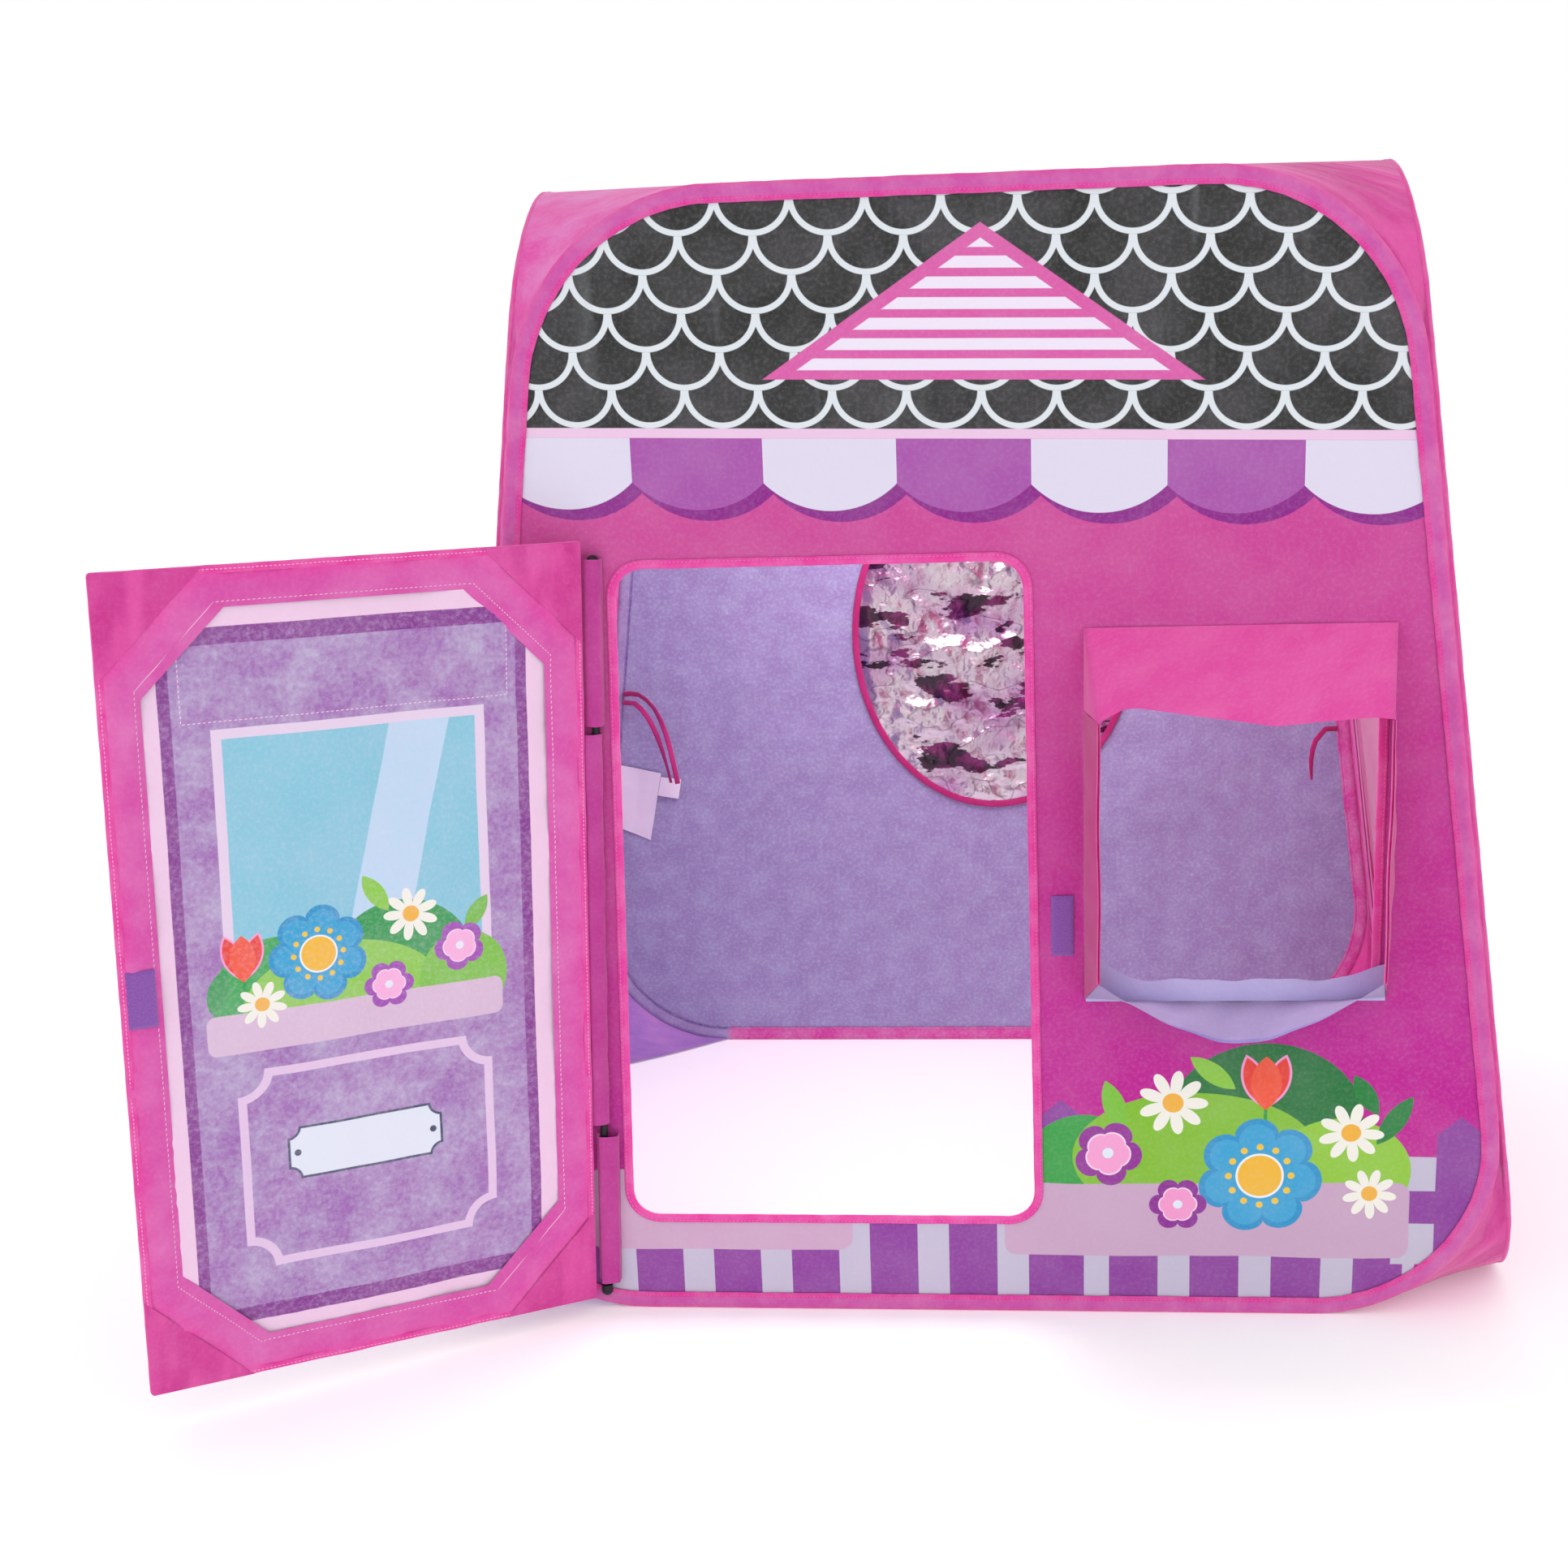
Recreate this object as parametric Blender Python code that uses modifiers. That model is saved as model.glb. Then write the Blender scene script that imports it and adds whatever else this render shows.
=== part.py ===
"""Kids play tent: four fabric walls on spring wire loops, a roof, a bay window and a door on a rod.

Metres, +Z up. The origin is on the floor, under the middle of the front wall, which faces -Y.
"""

import math

import bmesh
import bpy
from mathutils import Matrix, Vector

# The tent as a whole: hinge lines run up the four inner corners
floor_half_width = 0.490
top_half_width = 0.3625
height = 1.020
depth = 0.690

# Fabric, wire and sewn sleeves
touch_gap = 0.0003
panel_thickness = 0.0012
tape_thickness = 0.0008
net_thickness = 0.0006
wire_radius = 0.0016
sleeve_width = 0.020
sleeve_flat = 0.0015
binding_width = 0.010
binding_fold = 0.0005
seam_clearance = 0.0005
fold_clearance = 0.0004
web_clearance = 0.0014
seam_end_gap = 0.0003
seam_run = 0.012
web_floor_gap = 0.0025

# Corner radii of the wire loops, at the sleeve's outer edge
front_top_radius = 0.180
front_bottom_radius = 0.160
side_top_radius = 0.120
side_bottom_radius = 0.130

# Door opening in the front wall
opening_left_floor = -0.316
opening_left_top = -0.301
opening_right_floor = 0.056
opening_right_top = 0.050
opening_bottom = 0.095
opening_top = 0.701
opening_radius = 0.024

# Bay window in the front wall
bay_left = 0.101
bay_right = 0.364
bay_top = 0.642
bay_depth = 0.052
bay_inset = 0.010
pelmet_bottom = 0.570
pelmet_sag = 0.006
window_margin = 0.013
window_bottom = 0.322
window_top = 0.600
window_radius = 0.008
shelf_back = 0.306
shelf_end = 0.338
shelf_low = 0.283
bay_edge_radius = 0.0020
mesh_bulge = 0.004

# Door, which turns on a rod in three sewn sleeves
rod_floor_x = -0.3452
rod_lean = math.radians(2.15)
rod_offset = 0.0078
rod_radius = 0.0035
rod_bottom = 0.0215
rod_top = 0.710
rod_room = 0.0003
rod_sleeve_skin = 0.0012
door_sleeve_flange = 0.032
upper_sleeve_left = 0.016
lower_sleeve_left = 0.008
upper_sleeve_right = 0.0075
lower_sleeve_right = 0.013
cap_radius = 0.0056
cap_depth = 0.006
upper_sleeve_bottom = 0.567
upper_sleeve_top = 0.702
door_sleeve_bottom = 0.190
door_sleeve_top = 0.558
lower_sleeve_bottom = 0.030
lower_sleeve_top = 0.178
door_width = 0.420
door_bottom = 0.017
door_height = 0.711
door_hinge_edge = 0.012
door_corner_radius = 0.003
door_border = 0.034
door_corner_cut = 0.070
door_patch_leg = 0.088
door_wire_inset = 0.012
door_wire_corner = 0.088
door_hem_width = 0.005
door_opening_angle = math.radians(149)

# Hook and loop patches that hold the door shut
patch_thickness = 0.0012
hook_patch_width = 0.024
hook_patch_height = 0.050
hook_patch_edge = 0.005
loop_patch_width = 0.020
loop_patch_height = 0.056
loop_patch_x = 0.082
patch_height = 0.375

# Mirror on the inside of the back wall
mirror_x = 0.026
mirror_z = 0.508
mirror_half_width = 0.160
mirror_half_height = 0.203
mirror_binding = 0.007

# Mesh windows in the side walls
mesh_lap = 0.005
left_mesh_margin = 0.070
left_mesh_drop = 0.158
left_mesh_height = 0.245
right_mesh_margin = 0.060
right_mesh_drop = 0.148
right_mesh_bottom = 0.170
mesh_radius = 0.040

# Roof
roof_sag = 0.030
roof_drop = 0.016
roof_corner_rise = 0.0145
roof_rise_reach = 0.055
roof_edge_reach = 0.030

# Ties and tag at the back corners, inside
tie_radius = 0.0024
tie_point_spacing = 0.014
left_long_tie_height = 0.445
left_long_tie_steps = [
    (0.000, 0.009, 0.000),
    (0.020, 0.021, -0.002),
    (0.040, 0.030, 0.014),
    (0.053, 0.035, 0.044),
    (0.060, 0.038, 0.075),
    (0.065, 0.039, 0.104),
]
left_short_tie_height = 0.435
left_short_tie_steps = [
    (0.000, 0.009, 0.000),
    (0.016, 0.019, -0.001),
    (0.033, 0.028, 0.016),
    (0.045, 0.033, 0.042),
    (0.053, 0.036, 0.070),
    (0.058, 0.038, 0.093),
]
right_tie_height = 0.390
right_tie_steps = [
    (0.000, 0.009, 0.000),
    (0.015, 0.019, -0.002),
    (0.027, 0.026, 0.010),
    (0.032, 0.029, 0.032),
    (0.031, 0.030, 0.056),
]
tag_top = 0.357
tag_lap = 0.006
large_tag_corners = [(0.0, 0.0), (-0.006, 0.078), (0.036, 0.096), (0.053, 0.012)]
small_tag_corners = [(0.0525, 0.0165), (0.0478, 0.0395), (0.0730, 0.0440), (0.0775, 0.0195)]

# Shares and counts
bulge_start_share = 0.18
bulge_end_share = 0.42
lip_start_share = 0.62
panel_edge_share = 0.72
wire_place_share = 0.30
arc_steps = 7
fine_arc_steps = 4
ellipse_steps = 40
bay_rows = 5
bay_columns = 6
roof_cells = 18
web_steps = 7

lean = math.atan2(floor_half_width - top_half_width, height)
slant = height / math.cos(lean)
sleeve_bulge = wire_radius + touch_gap + tape_thickness
mid_offset = sleeve_bulge + fold_clearance
back_y = depth + 2 * mid_offset
lip = panel_thickness / 2 + touch_gap + tape_thickness
bay_wall_y = -(panel_thickness / 2 + touch_gap + tape_thickness / 2)

for old in list(bpy.data.objects):
    bpy.data.objects.remove(old, do_unlink=True)

tent = bpy.data.collections.new("kids_play_tent")
bpy.context.scene.collection.children.link(tent)


# Materials

def material(name, colour, roughness, metallic=0.0):
    made = bpy.data.materials.new(name)
    made.use_nodes = True
    shader = made.node_tree.nodes["Principled BSDF"]
    shader.inputs["Base Color"].default_value = (*colour, 1.0)
    shader.inputs["Roughness"].default_value = roughness
    shader.inputs["Metallic"].default_value = metallic
    return made


printed = material("printed_nonwoven", (0.72, 0.13, 0.42), 0.85)
pink = material("pink_nonwoven", (0.80, 0.10, 0.42), 0.80)
dark_pink = material("dark_pink_tape", (0.45, 0.02, 0.20), 0.75)
lavender = material("lavender_nonwoven", (0.38, 0.27, 0.62), 0.85)
pink_mesh = material("pink_mesh", (0.62, 0.02, 0.26), 0.70)
foil = material("mirror_foil", (0.75, 0.66, 0.72), 0.18, 1.0)
steel = material("spring_steel", (0.35, 0.35, 0.36), 0.35, 1.0)
black = material("black_plastic", (0.02, 0.02, 0.025), 0.45)
hook_tape = material("purple_hook_tape", (0.30, 0.15, 0.45), 0.90)
white = material("white_tag", (0.85, 0.85, 0.85), 0.70)


# Outlines: lists of (x, y) points, run round anticlockwise

def inset_corners(corners, distance):
    """The corners of the same outline, moved inwards by distance along every side."""
    count = len(corners)
    lines = []
    for i in range(count):
        a = Vector(corners[i])
        b = Vector(corners[(i + 1) % count])
        along = (b - a).normalized()
        lines.append((a + Vector((-along.y, along.x)) * distance, along))
    made = []
    for i in range(count):
        p, u = lines[i - 1]
        q, v = lines[i]
        step = (q - p).cross(v) / u.cross(v)
        made.append(tuple(p + u * step))
    return made


def rounded(corners, radii, steps=arc_steps):
    """An outline with each corner replaced by an arc; a radius of zero keeps the corner sharp."""
    count = len(corners)
    made = []
    for i in range(count):
        corner = Vector(corners[i])
        radius = radii[i]
        if radius <= 0:
            made.append(tuple(corner))
            continue
        back = (Vector(corners[i - 1]) - corner).normalized()
        on = (Vector(corners[(i + 1) % count]) - corner).normalized()
        half = back.angle(on) / 2
        centre = corner + (back + on).normalized() * (radius / math.sin(half))
        first = corner + back * (radius / math.tan(half)) - centre
        sweep = math.pi - 2 * half
        for k in range(steps + 1):
            turn = Matrix.Rotation(sweep * k / steps, 2)
            made.append(tuple(centre + turn @ first))
    return made


def box_corners(left, bottom, right, top):
    return [(left, bottom), (right, bottom), (right, top), (left, top)]


def ellipse(x, y, half_width, half_height):
    turns = [2 * math.pi * k / ellipse_steps for k in range(ellipse_steps)]
    return [(x + half_width * math.cos(a), y + half_height * math.sin(a)) for a in turns]


# Objects

def settle(obj, parent, colour, place=(0, 0, 0)):
    """Gives an object its collection, parent, place under it and material."""
    for holder in list(obj.users_collection):
        holder.objects.unlink(obj)
    tent.objects.link(obj)
    obj.parent = parent
    obj.location = place
    obj.data.materials.clear()
    obj.data.materials.append(colour)
    return obj


def frame_at(name, place, x_axis, y_axis, parent=None):
    """An empty whose X and Y axes are given; the sheets on it lie in that plane."""
    empty = bpy.data.objects.new(name, None)
    tent.objects.link(empty)
    z_axis = Vector(x_axis).cross(Vector(y_axis))
    turn = Matrix((x_axis, y_axis, z_axis)).transposed().to_4x4()
    empty.parent = parent
    empty.matrix_local = Matrix.Translation(place) @ turn
    return empty


def flat_curve(name, loops):
    data = bpy.data.curves.new(name, "CURVE")
    data.dimensions = "2D"
    for loop in loops:
        spline = data.splines.new("POLY")
        spline.points.add(len(loop) - 1)
        for point, (x, y) in zip(spline.points, loop):
            point.co = (x, y, 0, 1)
        spline.use_cyclic_u = True
    return data


def sheet(name, loops, thickness, parent, colour, level=0.0):
    """A flat sheet, whose later loops are holes in the first."""
    data = flat_curve(name, loops)
    data.fill_mode = "BOTH"
    data.extrude = thickness / 2
    obj = bpy.data.objects.new(name, data)
    return settle(obj, parent, colour, (0, 0, level))


def wire(name, loop, radius, parent):
    """A closed round wire that follows a flat outline."""
    data = flat_curve(name, [loop])
    data.dimensions = "3D"
    data.bevel_depth = radius
    data.bevel_resolution = 2
    obj = bpy.data.objects.new(name, data)
    return settle(obj, parent, steel)


def channel_profile(width, bulge, flat, lip_height, skin):
    """A folded tape in section, as (distance inwards, level) points: one half, then the other."""
    outer = [
        (0.0, flat),
        (width * bulge_start_share, bulge),
        (width * bulge_end_share, bulge),
        (width * lip_start_share, lip_height),
        (width, lip_height),
    ]
    inner = [(max(u, skin), v - skin) for u, v in outer]
    inner[0] = (skin, max(flat - skin / 2, flat / 2))
    upper = outer + inner[::-1]
    lower_inner = [(u, -v) for u, v in inner]
    lower_outer = [(u, -v) for u, v in outer]
    return upper + lower_inner + lower_outer[::-1]


def swept_tape(name, loop, profile, parent, colour):
    """A tape folded over an edge: the profile goes round the loop, its lips to the left of the path."""
    count = len(loop)
    mesh = bpy.data.meshes.new(name)
    build = bmesh.new()
    rings = []
    for i in range(count):
        here = Vector(loop[i])
        back = (here - Vector(loop[i - 1])).normalized()
        on = (Vector(loop[(i + 1) % count]) - here).normalized()
        side = Vector((-(back + on).y, (back + on).x)).normalized()
        stretch = 1 / max(math.cos(back.angle(on) / 2), 0.5)
        ring = []
        for u, v in profile:
            at = here + side * (u * stretch)
            ring.append(build.verts.new((at.x, at.y, v)))
        rings.append(ring)
    turns = len(profile)
    for i in range(count):
        first = rings[i]
        second = rings[(i + 1) % count]
        for k in range(turns):
            after = (k + 1) % turns
            build.faces.new((first[k], second[k], second[after], first[after]))
    bmesh.ops.recalc_face_normals(build, faces=build.faces)
    build.to_mesh(mesh)
    build.free()
    mesh.shade_smooth()
    mesh.set_sharp_from_angle(angle=math.radians(50))
    obj = bpy.data.objects.new(name, mesh)
    return settle(obj, parent, colour)


def cloth(name, rows, thickness, parent, colour, cut_planes=()):
    """A soft sheet through rows of points, all rows with as many points."""
    mesh = bpy.data.meshes.new(name)
    build = bmesh.new()
    made = [[build.verts.new(point) for point in row] for row in rows]
    for lower, upper in zip(made, made[1:]):
        for k in range(len(lower) - 1):
            build.faces.new((lower[k], lower[k + 1], upper[k + 1], upper[k]))
    for place, normal in cut_planes:
        everything = build.verts[:] + build.edges[:] + build.faces[:]
        bmesh.ops.bisect_plane(build, geom=everything, plane_co=place, plane_no=normal, clear_outer=True)
    bmesh.ops.recalc_face_normals(build, faces=build.faces)
    build.to_mesh(mesh)
    build.free()
    mesh.shade_smooth()
    obj = bpy.data.objects.new(name, mesh)
    settle(obj, parent, colour)
    solid = obj.modifiers.new("thickness", "SOLIDIFY")
    solid.thickness = thickness
    solid.offset = 0
    return obj


def mix(a, b, share):
    return a + (b - a) * share


def shares(steps):
    return [k / steps for k in range(steps + 1)]


# The frames that the walls and the door are built on; each moving one stands on its hinge line

def up_the_corner(side):
    """The direction up the corner between the front or back wall and the wall on that side."""
    return Vector((-side * math.sin(lean), 0, math.cos(lean)))


front_frame = frame_at("front_frame", (0, 0, 0), Vector((1, 0, 0)), Vector((0, 0, 1)))
right_hinge = frame_at("right_hinge", (floor_half_width, mid_offset, 0), Vector((0, 1, 0)), up_the_corner(1))
left_hinge = frame_at(
    "left_hinge", (-floor_half_width, mid_offset, 0), Vector((0, -1, 0)), up_the_corner(-1)
)
back_hinge = frame_at(
    "back_hinge", (floor_half_width, back_y - mid_offset, 0), Vector((-1, 0, 0)), Vector((0, 0, 1))
)
right_frame = frame_at("right_frame", (0, 0, mid_offset), Vector((1, 0, 0)), Vector((0, 1, 0)), right_hinge)
left_frame = frame_at("left_frame", (0, 0, mid_offset), Vector((1, 0, 0)), Vector((0, 1, 0)), left_hinge)
back_frame = frame_at(
    "back_frame", (floor_half_width, 0, mid_offset), Vector((1, 0, 0)), Vector((0, 1, 0)), back_hinge
)
rod_up = Vector((math.sin(rod_lean), 0, math.cos(rod_lean)))
rod_across = Vector((math.cos(rod_lean), 0, -math.sin(rod_lean)))
rod_frame = frame_at("rod_frame", (rod_floor_x, -rod_offset, 0), rod_across, rod_up)
door_hinge = frame_at(
    "door_hinge",
    (0, 0, 0),
    Vector((math.cos(door_opening_angle), 0, math.sin(door_opening_angle))),
    Vector((0, 1, 0)),
    rod_frame,
)


# Wall outlines, at the sleeves' outer edge

def end_wall_corners():
    low = floor_half_width - seam_clearance
    high = top_half_width - seam_clearance
    return [(-low, 0), (low, 0), (high, height), (-high, height)]


def side_wall_corners():
    return box_corners(seam_clearance, 0, depth - seam_clearance, slant)


end_radii = [front_bottom_radius, front_bottom_radius, front_top_radius, front_top_radius]
side_radii = [side_bottom_radius, side_bottom_radius, side_top_radius, side_top_radius]


def wall_outline(corners, radii, inset):
    return rounded(inset_corners(corners, inset), [radius - inset for radius in radii])


sleeve_profile = channel_profile(sleeve_width, sleeve_bulge, sleeve_flat, lip, tape_thickness)


def build_wall(name, corners, radii, parent, holes, colour):
    """The panel, the wire loop and the sleeve that holds both."""
    panel_loop = wall_outline(corners, radii, sleeve_width * panel_edge_share)
    sheet(name + "_panel", [panel_loop] + holes, panel_thickness, parent, colour)
    wire_loop = wall_outline(corners, radii, sleeve_width * wire_place_share)
    wire(name + "_wire", wire_loop, wire_radius, parent)
    outer_loop = wall_outline(corners, radii, 0)
    swept_tape(name + "_sleeve", outer_loop, sleeve_profile, parent, pink)


binding_profile = [
    (-binding_fold, lip),
    (binding_width, lip),
    (binding_width, lip - tape_thickness),
    (tape_thickness, lip - tape_thickness),
    (tape_thickness, tape_thickness - lip),
    (binding_width, tape_thickness - lip),
    (binding_width, -lip),
    (-binding_fold, -lip),
]


def bound_hole(name, corners, radius, parent, colour):
    """Folds a tape over the edge of a hole. Returns the hole in the fabric."""
    path = rounded(corners, [radius] * len(corners), fine_arc_steps)
    swept_tape(name, path[::-1], binding_profile, parent, colour)
    edge = -(tape_thickness + touch_gap)
    grown = inset_corners(corners, edge)
    return rounded(grown, [radius - edge] * len(corners), fine_arc_steps)


# Front wall with the door opening and the window

def front_wall():
    doorway = [
        (opening_left_floor, opening_bottom),
        (opening_right_floor, opening_bottom),
        (opening_right_top, opening_top),
        (opening_left_top, opening_top),
    ]
    window = box_corners(bay_left + window_margin, window_bottom, bay_right - window_margin, window_top)
    holes = [
        bound_hole("door_opening_binding", doorway, opening_radius, front_frame, pink),
        bound_hole("window_opening_binding", window, window_radius, front_frame, pink),
    ]
    build_wall("front", end_wall_corners(), end_radii, front_frame, holes, printed)
    patch = box_corners(
        loop_patch_x - loop_patch_width / 2,
        patch_height - loop_patch_height / 2,
        loop_patch_x + loop_patch_width / 2,
        patch_height + loop_patch_height / 2,
    )
    level = panel_thickness / 2 + touch_gap + patch_thickness / 2
    sheet("jamb_loop_patch", [patch], patch_thickness, front_frame, hook_tape, level)


# Bay window: a sloping pelmet, a mesh cheek on each side and a sagging shelf

def bay_side(side, share):
    """The bay's side line at a share of its depth, from the wall at 0 to its front at 1."""
    return bay_left + bay_inset * share if side < 0 else bay_right - bay_inset * share


def pelmet():
    rows = []
    for fall in shares(bay_rows):
        z = mix(bay_top, pelmet_bottom, fall)
        y = bay_wall_y - bay_depth * fall
        left = bay_side(-1, fall)
        right = bay_side(1, fall)
        row = [(bay_left, bay_wall_y, z)]
        for along in shares(bay_columns):
            sag = pelmet_sag * fall * (1 - (2 * along - 1) ** 2)
            row.append((mix(left, right, along), y - touch_gap, z - sag))
        row.append((bay_right, bay_wall_y, z))
        rows.append(row)
    cloth("bay_pelmet", rows, tape_thickness, None, pink)


def shelf_side_height(share):
    return mix(shelf_back, shelf_end, share)


def cheek(name, side):
    """The mesh on one side, from the wall to the binding at the bay's front edge."""
    stop_share = 1 - (bay_edge_radius + touch_gap) / bay_depth
    top = pelmet_bottom - tape_thickness - touch_gap
    rows = []
    for rise in shares(bay_rows):
        row = []
        for share in shares(bay_columns):
            out = share * stop_share
            swell = mesh_bulge * math.sin(math.pi * share) * math.sin(math.pi * rise)
            x = bay_side(side, out) + side * swell
            y = bay_wall_y - bay_depth * out
            row.append((x, y, mix(shelf_side_height(out), top, rise)))
        rows.append(row)
    cloth(name, rows, net_thickness, None, pink_mesh)


def bay_edge(name, side):
    """The tape along the bay's front edge, from the pelmet's corner down to the shelf's."""
    x = bay_side(side, 1)
    y = bay_wall_y - bay_depth
    top = pelmet_bottom - tape_thickness - touch_gap
    data = bpy.data.curves.new(name, "CURVE")
    data.dimensions = "3D"
    data.bevel_depth = bay_edge_radius
    data.bevel_resolution = 2
    data.use_fill_caps = True
    spline = data.splines.new("POLY")
    spline.points.add(bay_rows)
    for point, rise in zip(spline.points, shares(bay_rows)):
        point.co = (x, y, mix(shelf_end, top, rise), 1)
    settle(bpy.data.objects.new(name, data), None, pink)


def shelf():
    side_room = net_thickness / 2 + touch_gap + tape_thickness / 2
    front_share = 1 - (bay_edge_radius + touch_gap + tape_thickness) / bay_depth
    rows = []
    for share in shares(bay_rows):
        out = share * front_share
        left = bay_side(-1, out) + side_room
        right = bay_side(1, out) - side_room
        low = mix(shelf_back, shelf_low, share)
        row = []
        for along in shares(2 * bay_columns):
            rise = (2 * along - 1) ** 2
            z = mix(low, shelf_side_height(share), rise)
            row.append((mix(left, right, along), bay_wall_y - bay_depth * out, z))
        rows.append(row)
    cloth("bay_shelf", rows, tape_thickness, None, lavender)


def bay_window():
    pelmet()
    cheek("bay_mesh_left", -1)
    cheek("bay_mesh_right", 1)
    bay_edge("bay_edge_left", -1)
    bay_edge("bay_edge_right", 1)
    shelf()


# Side walls with mesh windows

def mesh_window(name, left, bottom, right, top, parent):
    """A net behind a hole in the panel, and the tape round it. Returns the hole."""
    corners = box_corners(left, bottom, right, top)
    level = -(panel_thickness / 2 + touch_gap + net_thickness / 2)
    net_corners = inset_corners(corners, -mesh_lap)
    net_loop = rounded(net_corners, [mesh_radius + mesh_lap] * 4)
    sheet(name + "_mesh", [net_loop], net_thickness, parent, pink_mesh, level)
    tape_level = level - net_thickness / 2 - touch_gap - tape_thickness / 2
    tape_corners = inset_corners(corners, -mesh_lap)
    outer = rounded(tape_corners, [mesh_radius + mesh_lap] * 4)
    inner = rounded(inset_corners(corners, touch_gap), [mesh_radius] * 4)
    sheet(name + "_mesh_binding", [outer, inner], tape_thickness, parent, dark_pink, tape_level)
    return rounded(corners, [mesh_radius] * 4)


def side_walls():
    top = slant - right_mesh_drop
    end = depth - right_mesh_margin
    hole = mesh_window("right", right_mesh_margin, right_mesh_bottom, end, top, right_frame)
    build_wall("right", side_wall_corners(), side_radii, right_frame, [hole], pink)
    top = slant - left_mesh_drop
    bottom = top - left_mesh_height
    hole = mesh_window("left", left_mesh_margin - depth, bottom, -left_mesh_margin, top, left_frame)
    corners = [(x - depth, y) for x, y in side_wall_corners()]
    build_wall("left", corners, side_radii, left_frame, [hole], lavender)


# Back wall with the mirror, ties and tag; seen from behind, so its X runs to the tent's left

def back_wall():
    build_wall("back", end_wall_corners(), end_radii, back_frame, [], lavender)
    level = -(panel_thickness / 2 + touch_gap + net_thickness / 2)
    film = ellipse(-mirror_x, mirror_z, mirror_half_width, mirror_half_height)
    sheet("mirror_film", [film], net_thickness, back_frame, foil, level)
    inside = touch_gap
    outside = touch_gap + mirror_binding
    ring = [
        ellipse(-mirror_x, mirror_z, mirror_half_width + outside, mirror_half_height + outside),
        ellipse(-mirror_x, mirror_z, mirror_half_width + inside, mirror_half_height + inside),
    ]
    ring_level = -(panel_thickness / 2 + touch_gap + panel_thickness / 2)
    sheet("mirror_binding", ring, panel_thickness, back_frame, dark_pink, ring_level)
    tag_edge = floor_half_width - tag_top * math.tan(lean) - sleeve_width + tag_lap
    tag_level = -(lip + touch_gap + tape_thickness / 2)
    for name, corners in (("large_tag", large_tag_corners), ("small_tag", small_tag_corners)):
        tag = [(tag_edge - inwards, tag_top - drop) for inwards, drop in corners]
        sheet(name, [tag], tape_thickness, back_frame, white, tag_level)


def smooth_route(points):
    """Points spaced along a smooth curve through the route's own points."""
    route = [Vector(point) for point in points]
    padded = [2 * route[0] - route[1]] + route + [2 * route[-1] - route[-2]]
    made = []
    for i in range(len(route) - 1):
        a, b, c, d = padded[i : i + 4]
        steps = max(1, round((c - b).length / tie_point_spacing))
        for k in range(steps):
            t = k / steps
            bend = (c - a) * t + (2 * a - 5 * b + 4 * c - d) * t**2 + (3 * b - a - 3 * c + d) * t**3
            made.append(b + bend / 2)
    return made + [route[-1]]


def tie(name, side, start_height, steps):
    """A cord out of the back sleeve's lip; each step is (inwards, away from the wall, drop) from there."""
    data = bpy.data.curves.new(name, "CURVE")
    data.dimensions = "3D"
    data.bevel_depth = tie_radius
    data.bevel_resolution = 2
    data.use_fill_caps = True
    start = floor_half_width - start_height * math.tan(lean) - sleeve_width * (1 + lip_start_share) / 2
    route = [(side * start, back_y - lip - touch_gap, start_height)]
    for inwards, away, drop in steps:
        route.append((side * (start - inwards), back_y - away, start_height - drop))
    route = smooth_route(route)
    spline = data.splines.new("POLY")
    spline.points.add(len(route) - 1)
    for point, place in zip(spline.points, route):
        point.co = (*place, 1)
    settle(bpy.data.objects.new(name, data), None, dark_pink)


def ties():
    tie("tie_left_long", -1, left_long_tie_height, left_long_tie_steps)
    tie("tie_left_short", -1, left_short_tie_height, left_short_tie_steps)
    tie("tie_right", 1, right_tie_height, right_tie_steps)


# Rod, its caps and the sleeves on it

def rod_outline_arc(radius, start, end, steps):
    turns = [mix(start, end, k / steps) for k in range(steps + 1)]
    return [(radius * math.cos(a), radius * math.sin(a)) for a in turns]


def rod_sleeve(name, loops, bottom, top, parent):
    """A sewn sleeve: outlines across the rod, drawn out along it. Their Y runs towards the tent."""
    data = flat_curve(name, loops)
    data.fill_mode = "BOTH"
    data.extrude = (top - bottom) / 2
    obj = bpy.data.objects.new(name, data)
    settle(obj, parent, pink, (0, (top + bottom) / 2, 0))
    obj.rotation_euler = (-math.pi / 2, 0, 0)


rod_bore = rod_radius + rod_room
rod_skin = rod_bore + rod_sleeve_skin


def tent_sleeve(name, left, right, bottom, top):
    """A strip sewn to the front wall on both sides of the rod."""
    foot = rod_offset - panel_thickness / 2 - touch_gap
    back = foot - rod_sleeve_skin
    outline = [(-left, back), (-rod_skin, back)]
    outline += rod_outline_arc(rod_skin, math.pi, 2 * math.pi, arc_steps)
    outline += [(rod_skin, back), (right, back), (right, foot), (rod_bore, foot)]
    outline += rod_outline_arc(rod_bore, 2 * math.pi, math.pi, arc_steps)
    outline += [(-rod_bore, foot), (-left, foot)]
    rod_sleeve(name, [outline], bottom, top, rod_frame)


def door_sleeve():
    """A tube round the rod, sewn to the door's outer face."""
    near = door_outer_face + touch_gap
    far = near + rod_sleeve_skin
    start = -math.asin(near / rod_skin)
    end = 2 * math.pi - math.asin(far / rod_skin)
    outline = rod_outline_arc(rod_skin, start, end, 2 * arc_steps)
    outline += [(door_sleeve_flange, -far), (door_sleeve_flange, -near)]
    bore = rod_outline_arc(rod_bore, 0, 2 * math.pi, 2 * arc_steps)[:-1]
    rod_sleeve("door_hinge_sleeve", [outline, bore], door_sleeve_bottom, door_sleeve_top, door_hinge)


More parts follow.
